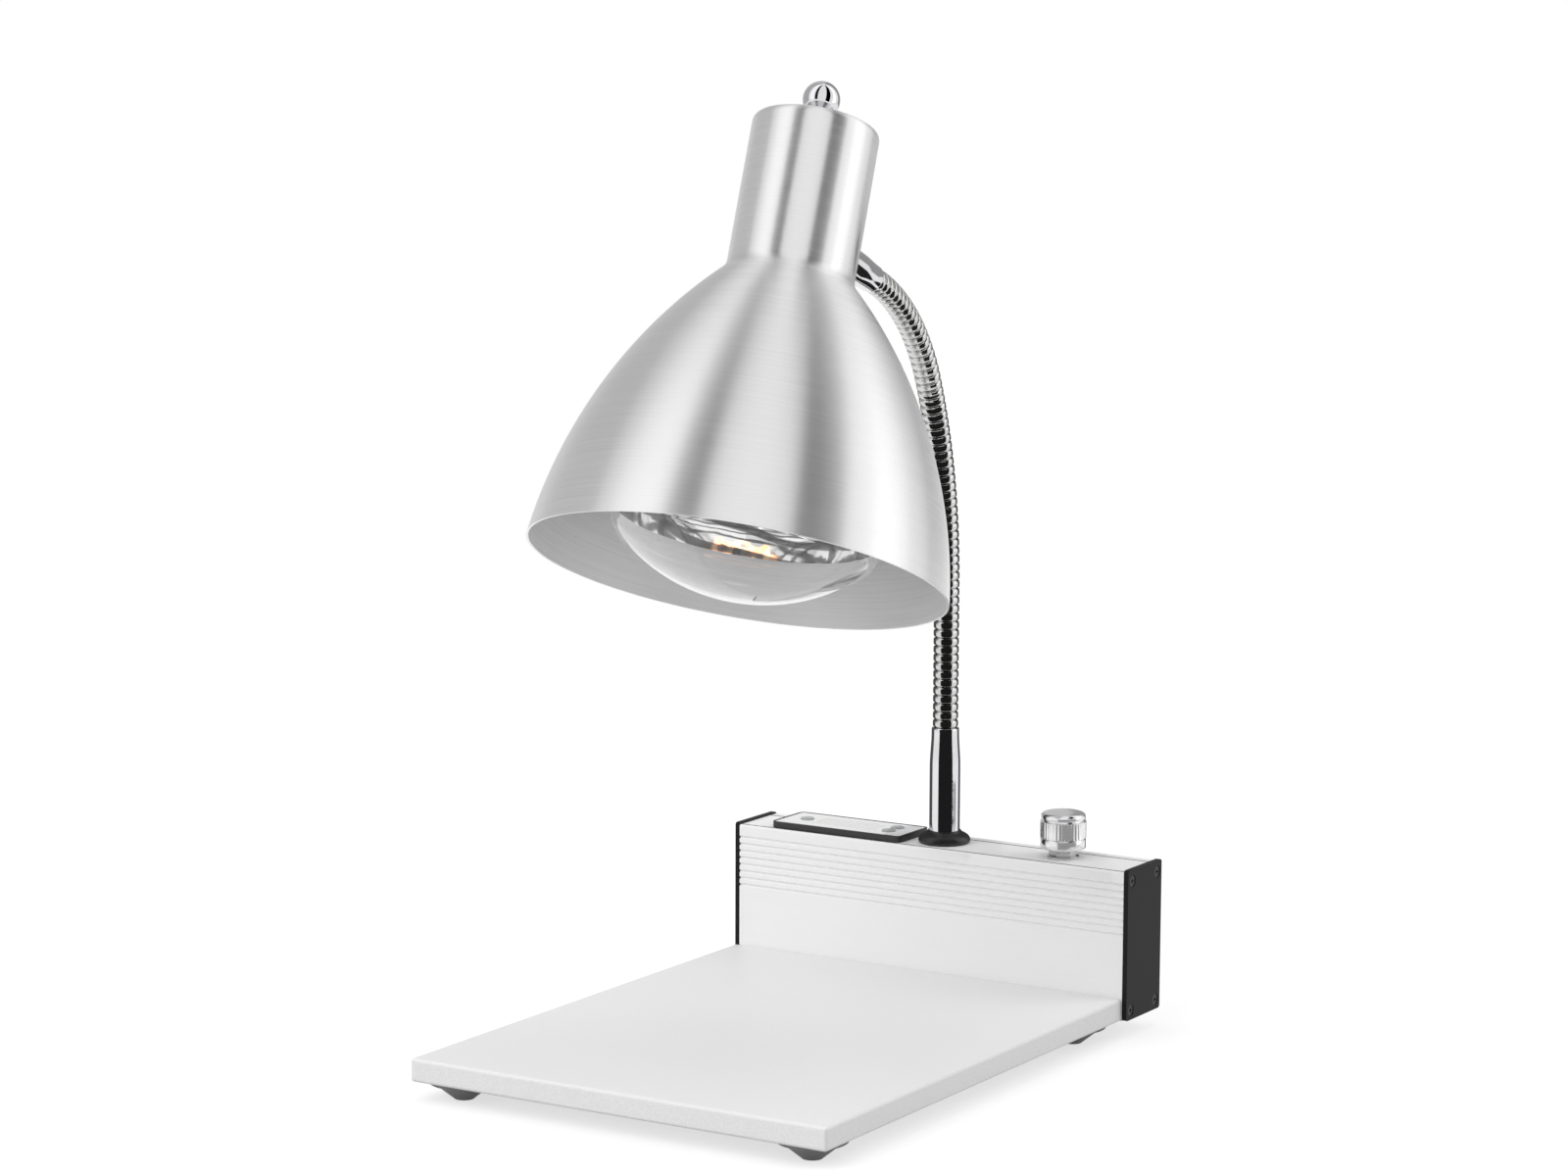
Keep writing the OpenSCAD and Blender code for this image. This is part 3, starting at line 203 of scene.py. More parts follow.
HEATSINK = material("mill_aluminium", (0.45, 0.46, 0.48), 0.4, metal=1.0, grain=600, bump=0.01)
GREEN = material("terminal_green", (0.05, 0.25, 0.1), 0.4, grain=700)
LEAD = material("lead_sheath", (0.02, 0.02, 0.02), 0.5, grain=900, bump=0.01)
POLISHED = material("polished_aluminium", (0.80, 0.80, 0.81), 0.2, metal=1.0, spread=0.03,
                    grain=1.0, stretch=(20, 20, 2200), rough_spread=0.03, bump=0.002)
CHROME = material("chrome", (0.72, 0.72, 0.74), 0.05, metal=1.0, spread=0.02, grain=200,
                  rough_spread=0.02)
HOSE = material("nickel_hose", (0.62, 0.615, 0.61), 0.12, metal=1.0, spread=0.08, grain=900,
                rough_spread=0.05, bump=0.005)
SPUN = spun("spun_aluminium", (0.89, 0.89, 0.895), 0.37, 1.0)
SPUN_INSIDE = material("satin_aluminium", (0.86, 0.86, 0.865), 0.48, metal=0.6, spread=0.05,
                       grain=1.0, stretch=(14, 14, 1800), bump=0.006)
CERAMIC = material("glazed_ceramic", (0.85, 0.84, 0.8), 0.2, grain=300, Coat_Weight=0.6)
BRASS = material("brass", (0.72, 0.53, 0.24), 0.25, metal=1.0, grain=700)
CAP = material("cap_nickel", (0.68, 0.67, 0.64), 0.22, metal=1.0, grain=500, bump=0.01)
GLASS = glass("bulb_glass", (1, 1, 1))
# Mirror with painted reflection bands in its colour
MIRROR_PAINTED_REFLECTION = silvered("bulb_silvering_painted_reflection")
STEM_GLASS = glass("stem_glass", (0.96, 0.98, 1.0))
HOT = glowing("hot_filament", (1.0, 0.34, 0.13), 3.0)
WIRE = material("support_wire", (0.55, 0.5, 0.45), 0.3, metal=1.0, grain=900)


# ---------------------------------------------------------------- mesh helpers
def mesh_piece(name, points, faces, mat, body, replaces=(), place=None, smooth=38, second=None):
    """A smooth-shaded piece from points in millimetres; second = (material, first face) repaints."""
    mesh = bpy.data.meshes.new(name)
    mesh.from_pydata([[c * MM for c in p] for p in points], [], faces)
    mesh.validate()
    mesh.update()
    mesh.polygons.foreach_set("use_smooth", [True] * len(mesh.polygons))
    mesh.set_sharp_from_angle(angle=math.radians(smooth))
    mesh.materials.append(mat)
    if second:
        mesh.materials.append(second[0])
        for polygon in mesh.polygons:
            polygon.material_index = int(second[1](polygon))
    obj = bpy.data.objects.new(name, mesh)
    scene.collection.objects.link(obj)
    if place is not None:
        obj.matrix_world = place
    bpy.context.view_layer.update()
    if body:
        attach(obj, body)
    if replaces:
        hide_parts(*replaces)
    return obj


def revolved(profile, segments, radius_at=None):
    """Points and faces of a profile of (radius, height) turned about Z.

    A radius of 0 becomes one point. radius_at(r, z, angle) may change the radius round the piece.
    """
    points, faces, rings = [], [], []
    for r, z in profile:
        if r < 1e-6:
            rings.append([len(points)])
            points.append((0, 0, z))
            continue
        ring = []
        for k in range(segments):
            angle = 2 * math.pi * k / segments
            rr = radius_at(r, z, angle) if radius_at else r
            ring.append(len(points))
            points.append((rr * math.cos(angle), rr * math.sin(angle), z))
        rings.append(ring)
    for a, b in zip(rings, rings[1:]):
        for k in range(segments):
            k2 = (k + 1) % segments
            if len(a) == 1 and len(b) == 1:
                continue
            if len(a) == 1:
                faces.append((a[0], b[k2], b[k]))
            elif len(b) == 1:
                faces.append((a[k], a[k2], b[0]))
            else:
                faces.append((a[k], a[k2], b[k2], b[k]))
    return points, faces


def lathe(name, profile, mat, body, replaces=(), place=None, segments=96, smooth=38,
          radius_at=None, second=None):
    points, faces = revolved(profile, segments, radius_at)
    return mesh_piece(name, points, faces, mat, body, replaces, place, smooth, second)


def arc(cx, cy, r, a0, a1, steps):
    """Points of an arc, angles in degrees."""
    return [(cx + r * math.cos(math.radians(a0 + (a1 - a0) * i / steps)),
             cy + r * math.sin(math.radians(a0 + (a1 - a0) * i / steps))) for i in range(steps + 1)]


def swept(points, radius, sides=8, closed=False):
    """Points and faces of a round wire along a list of points, in millimetres."""
    path = [Vector(p) for p in points]
    count = len(path)
    verts, faces = [], []
    side = None
    for i, p in enumerate(path):
        if closed:
            along = path[(i + 1) % count] - path[i - 1]
        else:
            along = path[min(i + 1, count - 1)] - path[max(i - 1, 0)]
        along.normalize()
        if side is None:
            side = along.orthogonal().normalized()
        side = (side - along * side.dot(along)).normalized()
        up = along.cross(side)
        for k in range(sides):
            angle = 2 * math.pi * k / sides
            verts.append(p + radius * (math.cos(angle) * side + math.sin(angle) * up))
    spans = count if closed else count - 1
    for i in range(spans):
        j = (i + 1) % count
        for k in range(sides):
            k2 = (k + 1) % sides
            faces.append((i * sides + k, i * sides + k2, j * sides + k2, j * sides + k))
    if not closed:
        faces.append(tuple(range(sides))[::-1])
        faces.append(tuple((count - 1) * sides + k for k in range(sides)))
    return verts, faces


def joined(parts):
    """One list of points and faces from several."""
    points, faces = [], []
    for p, f in parts:
        base = len(points)
        points += [tuple(v) for v in p]
        faces += [tuple(i + base for i in face) for face in f]
    return points, faces


def dress(mat, *nodes, bevel=0.0):
    """Gives CAD nodes a material and, where asked, a small rounding of their edges."""
    for name in nodes:
        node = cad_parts[name]
        node.data.materials.clear()
        node.data.materials.append(mat)
        if bevel:
            edge = node.modifiers.new("edge", "BEVEL")
            edge.width = bevel * MM
            edge.segments = 2
            edge.limit_method = "ANGLE"
            edge.angle_limit = math.radians(40)


def at(x, y, z):
    return Matrix.Translation(Vector((x, y, z)) * MM)


# ---------------------------------------------------------------- gooseneck centre line
FLEX_L = (2 * END_RIBS + LINKS * LINK_RIBS) * RIB_PITCH
BEND2_A = 90 - HEAD_TILT - BEND1_A
ARC1 = BEND1_R * math.radians(BEND1_A)
ARC2 = BEND2_R * math.radians(BEND2_A)
LOW_STRAIGHT = FLEX_L - ARC1 - ARC2 - TOP_STRAIGHT


def lean_at(u):
    """Angle of the tube from the vertical at arc length u, in radians."""
    if u < LOW_STRAIGHT:
        return 0.0
    if u < LOW_STRAIGHT + ARC1:
        return (u - LOW_STRAIGHT) / BEND1_R
    if u < LOW_STRAIGHT + ARC1 + ARC2:
        return math.radians(BEND1_A) + (u - LOW_STRAIGHT - ARC1) / BEND2_R
    return math.radians(BEND1_A + BEND2_A)


def line_at(u):
    """Point of the centre line at arc length u."""
    if u < LOW_STRAIGHT:
        return Vector((0, MID_Y, GOOSE_BASE + u))
    lean = lean_at(u)
    one = math.radians(BEND1_A)
    first = min(lean, one)
    reach = BEND1_R * (1 - math.cos(first))
    rise = LOW_STRAIGHT + BEND1_R * math.sin(first)
    if lean > one:
        reach += BEND2_R * (math.cos(one) - math.cos(lean))
        rise += BEND2_R * (math.sin(lean) - math.sin(one))
    past = max(0.0, u - LOW_STRAIGHT - ARC1 - ARC2)
    return Vector((0, MID_Y - reach - past * math.sin(lean), GOOSE_BASE + rise + past * math.cos(lean)))


def joint_u(j):
    """Arc length of joint j, from 1 to LINKS + 1."""
    return (END_RIBS + (j - 1) * LINK_RIBS) * RIB_PITCH


# ---------------------------------------------------------------- camera
# Solved from the straight edges of board and housing, in millimetres and pixels of the photograph
CAMERA_AT = (1007.9, -1653.2, 499.75)
CAMERA_TO = (-83.2, 119.0, 205.06)
CAMERA_ROLL = 0.235
FOCAL_PX, PHOTO_W = 4293.9, 1600

camera = bpy.data.objects.new("camera", bpy.data.cameras.new("camera"))
scene.collection.objects.link(camera)
scene.camera = camera
look = (Vector(CAMERA_TO) - Vector(CAMERA_AT)).to_track_quat("-Z", "Y").to_matrix().to_4x4()
camera.matrix_world = at(*CAMERA_AT) @ look @ Matrix.Rotation(math.radians(CAMERA_ROLL), 4, "Z")
camera.data.sensor_width = 36
camera.data.lens = FOCAL_PX * 36 / PHOTO_W

# ---------------------------------------------------------------- board, housing and what is on it
dress(BOARD, "base_board")
dress(ZINC, "foot_screws", "board_screws", "potentiometer_shaft", "foot_ferrule_fixings",
      "head_ferrule_nut", "holder_stud", "holder_lock_nut", "potentiometer_body")
dress(ANODISED, "housing_extrusion", "housing_top_plate")
dress(END_PLATE, "end_plate_left", "end_plate_right", bevel=0.3)
dress(BLACK_STEEL, "end_plate_screws", "knob_set_screw")
dress(MOULDED, "cord_bushing")
dress(MOULDED, "display_bezel", bevel=0.6)
dress(FACE, "display_faceplate")
dress(SCREEN, "display_screen")
dress(BOARD_GREEN, "display_board", "dimmer_board")
dress(COMPONENT, "display_switches")
dress(BUTTON, "button_left", "button_up", "button_down", bevel=0.3)
dress(COPPER, "dimmer_choke")
dress(YELLOW, "dimmer_capacitor", bevel=0.6)
dress(HEATSINK, "triac_heatsink")
dress(GREEN, "terminal_block", bevel=0.3)
dress(LEAD, "mains_lead", "lamp_lead_lower", "lamp_lead_upper")
dress(BRASS, "lampholder_shell", "lampholder_contact")

# Rubber feet: a thin flange over a cone with a rounded tip and a screw recess
FOOT_H, FOOT_R, FOOT_TIP = 9.0, 16.0, 5.0
FOOT_IN = 17.5              # from the board's sides to a foot's middle
foot_profile = [(3.4, 4.5), (3.4, 0.6), (3.7, 0.1), (4.1, 0), (FOOT_TIP - 0.4, 0.1), (FOOT_TIP + 0.3, 0.7),
                (13.2, 7.1), (13.6, 7.4), (15.5, 7.5), (FOOT_R, 7.8), (FOOT_R, FOOT_H), (1.65, FOOT_H),
                (1.65, 4.5), (3.4, 4.5)]
low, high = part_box("base_board")
feet = []
for x in (low[0] / MM + FOOT_IN, high[0] / MM - FOOT_IN):
    for y in (low[1] / MM + FOOT_IN, high[1] / MM - FOOT_IN):
        points, faces = revolved(foot_profile, 64)
        feet.append(([(px + x, py + y, pz) for px, py, pz in points], faces))
mesh_piece("rubber_feet", *joined(feet), RUBBER, "base", ["feet"])

# Painted shade: thin black wires along the top plate's long edges stand in for the shaded gap where it is
# let into the housing
low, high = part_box("housing_top_plate")
gap_shade_wires = []
for y in (low[1] / MM - 0.02, high[1] / MM + 0.02):
    gap_shade_wires.append(swept([(low[0] / MM + 0.5, y, HOUSE_TOP - 0.1), (0, y, HOUSE_TOP - 0.1),
                        (high[0] / MM - 0.5, y, HOUSE_TOP - 0.1)], 0.32, 6))
mesh_piece("top_plate_painted_gap_shade", *joined(gap_shade_wires), BLACK_STEEL, "base")

def narrowing(start, length):
    """Outline of a ferrule where its radius eases from 7.6 to 6.8 over length."""
    return [(7.6 - 0.8 * (1 - math.cos(math.pi * t / 8)) / 2, start + length * t / 8)
            for t in range(1, 9)]


# Collar, foot ferrule and its shoulder
lathe("gooseneck_collar_rubber", [(7.7, 0), (12.1, 0), (12.6, 0.4), (12.9, 1.1), (12.9, 1.9), (12.5, 2.9),
                                  (11.7, 3.8), (10.6, 4.5), (9.6, 5.0), (8.9, 5.4), (8.5, 5.8), (8.2, 6.3),
                                  (7.7, 6.4), (7.7, 0)],
      COLLAR, "base", ["gooseneck_collar"], at(0, MID_Y, HOUSE_TOP))
lathe("foot_ferrule_chrome", [(2.9, -12), (5, -12), (5, 0), (7.2, 0), (7.6, 0.4), (7.6, 38)]
      + narrowing(38, 18)
      + arc(6.0, 57.2, 0.8, 0, 90, 4) + [(5.55, 58), (5.55, 48), (2.9, 48), (2.9, -12)],
      CHROME, "base", ["foot_ferrule"], at(0, MID_Y, HOUSE_TOP), segments=64)


# ---------------------------------------------------------------- flexible tube
def tube_section(j):
    """Ribbed tube across joint j, from the middle of one link to the middle of the next.
    """
    half = LINK_RIBS * RIB_PITCH / 2
    start = 0.0 if j == 1 else joint_u(j) - half
    end = FLEX_L if j == LINKS + 1 else joint_u(j) + half
    steps_per_rib = 10
    steps = round((end - start) / RIB_PITCH * steps_per_rib)
    sides = 40
    points, faces = [], []
    for i in range(steps + 1):
        u = start + (end - start) * i / steps
        phase = (u / RIB_PITCH) % 1.0
        # A round crest with a narrow groove between ribs
        swell = math.sqrt(max(0.0, 1 - abs(2 * phase - 1) ** 3.2))
        r = VALLEY_R + (RIB_R - VALLEY_R) * swell
        centre, lean = line_at(u), lean_at(u)
        across = Vector((0, math.cos(lean), math.sin(lean)))
        for k in range(sides):
            angle = 2 * math.pi * k / sides
            points.append(centre + r * (math.cos(angle) * Vector((1, 0, 0)) + math.sin(angle) * across))
    for i in range(steps):
        for k in range(sides):
            k2 = (k + 1) % sides
            faces.append((i * sides + k, i * sides + k2, (i + 1) * sides + k2, (i + 1) * sides + k))
    nodes = [f"gooseneck_link_{j}"] if j <= LINKS else ["gooseneck_head_end"]
    if j == 1:
        nodes.append("gooseneck_foot_end")
    piece = mesh_piece(f"tube_section_{j}", points, faces, HOSE, None, smooth=60)
    bend = 9.0              # length to each side of the joint, at which the centre line is computed but not used
    tuple(line_at(joint_u(j) + bend) * MM)
    tuple(line_at(joint_u(j) - bend) * MM)
    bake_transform(piece)
    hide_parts(*nodes)


for joint in range(1, LINKS + 2):
    tube_section(joint)

# ---------------------------------------------------------------- head
tube_end = line_at(FLEX_L)
tilt = math.radians(HEAD_TILT)
to_neck = Vector((0, -math.cos(tilt), math.sin(tilt)))
neck_point = tube_end + (HEAD_FERRULE + NECK_R) * to_neck
HEAD = (at(*neck_point) @ Matrix.Rotation(-tilt, 4, "X")
        @ Matrix.Rotation(math.radians(-HEAD_LEAN), 4, "Y") @ at(0, 0, -FERRULE_Z))
# +Z of this frame runs from the shade's axis to the tube
FERRULE = at(*neck_point) @ Matrix.Rotation(-tilt, 4, "X") @ Matrix.Rotation(math.radians(-90), 4, "X")

lathe("head_ferrule_chrome", [(2.9, NECK_R - 6), (5, NECK_R - 6), (5, NECK_R - 1), (7.6, NECK_R - 0.9),
                              (7.6, NECK_R + 24)]
      + narrowing(NECK_R + 24, 17)
      + arc(6.0, NECK_R + HEAD_FERRULE - 0.8, 0.8, 0, 90, 4)
      + [(5.55, NECK_R + HEAD_FERRULE), (5.55, NECK_R + 32), (2.9, NECK_R + 32), (2.9, NECK_R - 6)],
      CHROME, "head", ["head_ferrule"], FERRULE, segments=64)


def shade_outline(inset):
    """Half outline of the shade, drawn in by inset, from the mouth to the middle of the top."""
    chord = math.hypot(MOUTH_R - NECK_R, BELL_H)
    sag = math.sqrt(BELL_R ** 2 - (chord / 2) ** 2)
    cr = (MOUTH_R + NECK_R) / 2 - sag * BELL_H / chord
    cz = BELL_H / 2 - sag * (MOUTH_R - NECK_R) / chord
    r, neck, waist = BELL_R - inset, NECK_R - inset, WAIST_R + inset
    crown, top = max(CROWN_R - inset, 0.5), BELL_H + NECK_H - inset
    wr = neck + waist
    wz = cz + math.sqrt((r + waist) ** 2 - (wr - cr) ** 2)
    meet = math.degrees(math.atan2(wz - cz, wr - cr))
    mouth = math.degrees(-math.asin(cz / r))
    neck_steps = [(neck, wz + (top - crown - wz) * i / 12) for i in range(1, 12)]
    return (arc(cr, cz, r, mouth, meet, 56) + arc(wr, wz, waist, meet + 180, 180, 10) + neck_steps
            + arc(neck - crown, top - crown, crown, 0, 90, 8) + [(6.0, top), (4.1, top)])


outer, inner = shade_outline(0.0), shade_outline(SHADE_T)
rim = [(MOUTH_R - SHADE_T + 0.02, 0.25), (MOUTH_R - SHADE_T / 2, 0.0), (MOUTH_R - 0.02, 0.25)]
shade_profile = inner[::-1] + rim + outer + [(4.1, outer[-1][1] - SHADE_T)]
SHADE_SIDES = 240
inside_faces = len(inner) * SHADE_SIDES
lathe("shade_spun", shade_profile, SPUN, "head", ["shade"], HEAD, segments=SHADE_SIDES, smooth=50,
      second=(SPUN_INSIDE, lambda polygon: polygon.index < inside_faces))

# Finial: a ball on a flared base, with a bright ring
TOP = BELL_H + NECK_H
lathe("finial_chrome", [(0, 0), (10.2, 0), (10.9, 0.5), (11, 1.1), (10.6, 1.7), (9.2, 2.2), (8.9, 2.6),
                        (9.1, 3.0), (8.9, 3.6), (8.0, 4.4), (7.2, 5.4)]
      + [(8.7 * math.cos(math.radians(a)), 12.6 + 8.7 * math.sin(math.radians(a)))
         for a in range(-50, 91, 7)] + [(0, 21.3)],
      CHROME, "head", ["finial"], HEAD @ at(0, 0, TOP), segments=96, smooth=30)

# ---------------------------------------------------------------- bulb and holder
# The rolled edge touches the dome from inside and has the widest ring as its outermost point
DOME_RISE = BULB_FRONT + DOME_R - EDGE_Z
EDGE_R = (DOME_R ** 2 - DOME_RISE ** 2 - BULB_R ** 2) / (2 * (DOME_R - BULB_R))
MEET = math.degrees(math.atan2(BULB_R - EDGE_R, DOME_RISE))


def reflector_outline(inset, steps=40):
    return [(BULB_NECK_R - inset + (BULB_R - BULB_NECK_R) * (1 - (i / steps) ** 1.9),
             EDGE_Z + REFLECTOR_H * i / steps) for i in range(steps + 1)]


def mirror_outline(inset):
    """The silvering, whose first millimetres lean in a little towards the filament."""
    lip, slope = 11.0, 0.14
    return [(r - slope * max(0.0, EDGE_Z + lip - z), z) for r, z in reflector_outline(inset)]


def front_outline(inset):
    """Dome and rolled edge of the bulb's front, from the axis outwards."""
    return (arc(0, BULB_FRONT + DOME_R, DOME_R - inset, -90, MEET - 90, 26)
            + arc(BULB_R - EDGE_R, EDGE_Z, EDGE_R - inset, MEET - 90, 0, 12)[1:])


glass_outer = front_outline(0) + reflector_outline(0)[1:] + [(19, 148), (12.5, 152), (12.5, 154)]
glass_inner = front_outline(1.2) + reflector_outline(1.2)[1:] + [(17.8, 148), (11.3, 151.5), (11.3, 154)]
lathe("bulb_envelope", glass_outer + glass_inner[::-1], GLASS, "head", ["bulb_glass"], HEAD,
      segments=128, smooth=50)
mirror_out, mirror_in = mirror_outline(1.3), mirror_outline(1.7)
lathe("bulb_mirror", mirror_out + mirror_in[::-1] + [mirror_out[0]], MIRROR_PAINTED_REFLECTION, "head",
      ["bulb_reflector"], HEAD, segments=128, smooth=50)

# Screw cap with its rolled thread
thread = [(12.6, 152.3), (13.3, 152.3), (13.3, 155.3)]
for turn in range(5):
    thread += arc(12.85, 157.0 + 3.6 * turn, 0.45, -70, 70, 4)
    thread += [(12.4, 158.6 + 3.6 * turn)]
thread += [(10.3, 174.3), (5, 177.3), (4, 177.4), (4, 179.4), (2.8, 179.8), (0, 179.8)]
lathe("bulb_cap_nickel", thread, CAP, "head", ["bulb_cap"], HEAD, segments=64)

# Lampholder
lathe("lampholder_ceramic", [(14.4, 154.5), (14.9, 154), (18, 154), (18.5, 154.6), (18.5, 188.5),
                             (18.2, 190), (13, 199.4), (12, 200), (0, 200), (0, 182.2), (14.4, 182.2),
                             (14.4, 154.5)], CERAMIC, "head", ["lampholder"], HEAD, segments=64)

# Coiled filament hung on a ring of wires round the glass stem
FILAMENT_R, FILAMENT_Z = 17.0, EDGE_Z + 36 - 1.3
COIL_R, COIL_WIRE, SAG = 1.0, 0.42, 1.3
COIL_HALF = 150              # degrees from the middle of the coil to each of its ends
coil = []
turns, steps = 64, 12
for i in range(turns * steps + 1):
    share = i / (turns * steps)
    round_axis = math.radians(COIL_HALF * (2 * share - 1))
    twist = 2 * math.pi * turns * share
    sag = SAG * math.cos(6 * round_axis)
    r = FILAMENT_R + COIL_R * math.cos(twist)
    coil.append((r * math.cos(round_axis), r * math.sin(round_axis),
                 FILAMENT_Z - sag + COIL_R * math.sin(twist)))
mesh_piece("filament_coil", *swept(coil, COIL_WIRE, 6), HOT, "head", ["bulb_filament"], HEAD, smooth=80)

wires = []
for spoke in range(6):
    a = math.radians(60 * spoke)
    tip = Vector((FILAMENT_R * math.cos(a), FILAMENT_R * math.sin(a), FILAMENT_Z - 1.2))
    root = Vector((2.2 * math.cos(a), 2.2 * math.sin(a), FILAMENT_Z + 13))
    wires.append(swept([root, root.lerp(tip, 0.5) + Vector((0, 0, 1.2)), tip, tip + Vector((0, 0, -1.0))],
                       0.35, 6))
for side in (-1, 1):
    a = math.radians(COIL_HALF * side)
    end = (FILAMENT_R * math.cos(a), FILAMENT_R * math.sin(a), FILAMENT_Z)
    wires.append(swept([(1.6 * side, 0, 130), (2.2 * side, 0, 100), (3 * side, 0, 72), end], 0.45, 6))
mesh_piece("filament_supports", *joined(wires), WIRE, "head", (), HEAD, smooth=80)
lathe("stem_rod", [(0, 66.5), (2.2, 66.8), (3.1, 68), (2.2, 70), (2, 84), (3.8, 96), (4, 140), (9.5, 153),
                   (9.5, 154), (0, 154)], STEM_GLASS, "head", ["bulb_stem"], HEAD, segments=48)

# ---------------------------------------------------------------- dimmer knob
KNOB_Z = HOUSE_TOP + 4.4
KNOB_R = 11.3
FLUTES = 40


def flute(r, z, angle):
    """Straight flutes round the knob's middle band."""
    if r > KNOB_R - 0.01 and 5.6 < z < 13.4:
        return r - 0.2 * (0.5 - 0.5 * math.cos(angle * FLUTES))
    return r


knob_profile = [(0, 0.9), (4.4, 0.9), (4.4, 0), (10.4, 0), (10.9, 0.25), (11.1, 0.7), (11.1, 4.8),
                (10.95, 5.1), (10.6, 5.3), (KNOB_R, 5.5), (KNOB_R, 6.0), (KNOB_R, 13.2), (KNOB_R, 13.6),
                (10.3, 13.9), (10.2, 14.4), (10.75, 14.8), (10.9, 15.2), (10.9, 16.3), (10.75, 16.9),
                (10.3, 17.4), (9.6, 17.75), (8.5, 18.05), (7, 18.35), (4.5, 18.65), (2, 18.8), (0, 18.85)]
lathe("dimmer_knob_turned", knob_profile, POLISHED, "knob", ["dimmer_knob"], at(KNOB_X, MID_Y, KNOB_Z),
      segments=FLUTES * 8, smooth=30, radius_at=flute)


def hexagon(name, across, height, bore, place, nodes):
    """A nut with its corners chamfered."""
    corner = across / 2 / math.cos(math.radians(30))

    def flat(r, _z, angle):
        limit = across / 2 / math.cos((angle + math.pi / 6) % (math.pi / 3) - math.pi / 6)
        return min(r, limit) if r > bore + 0.1 else r
    return lathe(name, [(bore, 0), (corner - 0.6, 0), (corner, 0.4), (corner, height - 0.4),
                        (corner - 0.6, height), (bore, height), (bore, 0)], ZINC, "base", nodes, place,
                 segments=96, smooth=25, radius_at=flat)


lathe("dimmer_washer", [(3.85, 0), (7.8, 0), (8, 0.2), (8, 0.6), (7.8, 0.8), (3.85, 0.8), (3.85, 0)], ZINC,
      "base", ["potentiometer_washer"], at(KNOB_X, MID_Y, HOUSE_TOP), segments=64)
hexagon("dimmer_nut", 12.0, 3.2, 3.85, at(KNOB_X, MID_Y, HOUSE_TOP + 0.8), ["potentiometer_nut"])

# ---------------------------------------------------------------- studio
MID_Z = 0.2                 # metres, about half the object's height
HEAD_MID = HEAD @ Vector((0, 0, 0.1))
SHADE_AXIS = (HEAD.to_3x3() @ Vector((0, 0, 1))).normalized()


def shown(tree):
    """1 for the rays that show the white background: camera, glossy and transmission."""
    path = tree.nodes.new("ShaderNodeLightPath").outputs
    seen = path["Is Camera Ray"]
    for ray in ("Is Glossy Ray", "Is Transmission Ray"):
        both = tree.nodes.new("ShaderNodeMath")
        both.operation = "MAXIMUM"
        tree.links.new(seen, both.inputs[0])
        tree.links.new(path[ray], both.inputs[1])
        seen = both.outputs[0]
    return seen


def between(tree, fac, low, high, start=0.0, end=1.0):
    """Number from low to high as fac goes from start to end; each may be a socket."""
    node = node_of(tree, "ShaderNodeMapRange", Value=fac, From_Min=start, From_Max=end, To_Min=low,
                   To_Max=high)
    return node.outputs["Result"]


WORLD_LEVEL = 0.6
FLOOR_NEAR, FLOOR_FAR = 0.42, 1.5       # metres over which the floor turns to plain white
FLOOR_ALBEDO, FLOOR_GLOW = 0.38, 0.66   # near the object, where the floor shows its shadow

world = bpy.data.worlds.new("studio")
scene.world = world
world.use_nodes = True
tree = world.node_tree
background = tree.nodes["Background"]
background.inputs["Color"].default_value = (1, 1, 1, 1)
tree.links.new(between(tree, shown(tree), WORLD_LEVEL, 1.0), background.inputs["Strength"])

floor_mat = bpy.data.materials.new("pale_floor")
floor_mat.use_nodes = True
tree = floor_mat.node_tree
shader = tree.nodes["Principled BSDF"]
seen = shown(tree)
place = tree.nodes.new("ShaderNodeTexCoord").outputs["Object"]
away = tree.nodes.new("ShaderNodeVectorMath")
away.operation = "LENGTH"
tree.links.new(place, away.inputs[0])
far = between(tree, away.outputs["Value"], 0.0, 1.0, FLOOR_NEAR, FLOOR_FAR)
near_tone = between(tree, far, FLOOR_ALBEDO, 0.0)
tone = between(tree, seen, 0.5, near_tone)
tree.links.new(tone, shader.inputs["Base Color"])
near_glow = between(tree, far, FLOOR_GLOW, 1.0)
tree.links.new(between(tree, seen, 0.0, near_glow), shader.inputs["Emission Strength"])
shader.inputs["Emission Color"].default_value = (1, 1, 1, 1)
shader.inputs["Roughness"].default_value = 0.9
shader.inputs["Specular IOR Level"].default_value = 0.0
floor_mat.cycles.emission_sampling = "NONE"
bpy.ops.mesh.primitive_plane_add(size=40)
floor = bpy.context.object
floor.name = "floor"
floor.data.materials.append(floor_mat)


def facing(place, target):
    """Matrix of a flat thing at place whose -Z looks at target, in metres."""
    place, target = Vector(place), Vector(target)
    return Matrix.Translation(place) @ (target - place).to_track_quat("-Z", "Y").to_matrix().to_4x4()


def round_object(turn, rise, distance):
    """Point at an angle turn from the camera's side, positive to the camera's right, and rise up."""
    front = Vector((CAMERA_AT[0], CAMERA_AT[1], 0)).normalized()
    right = Vector((-front.y, front.x, 0))
    t, e = math.radians(turn), math.radians(rise)
    flat = math.cos(t) * front + math.sin(t) * right
    return flat * math.cos(e) * distance + Vector((0, 0, MID_Z + math.sin(e) * distance))


def lamp(name, turn, rise, distance, size, power):
    """A large soft rectangular studio lamp."""
    data = bpy.data.lights.new(name, "AREA")
    data.shape = "RECTANGLE"
    data.size, data.size_y = size
    data.energy = power
    obj = bpy.data.objects.new(name, data)
    scene.collection.objects.link(obj)
    obj.matrix_world = facing(round_object(turn, rise, distance), (0, 0, MID_Z))
    obj.visible_glossy = False


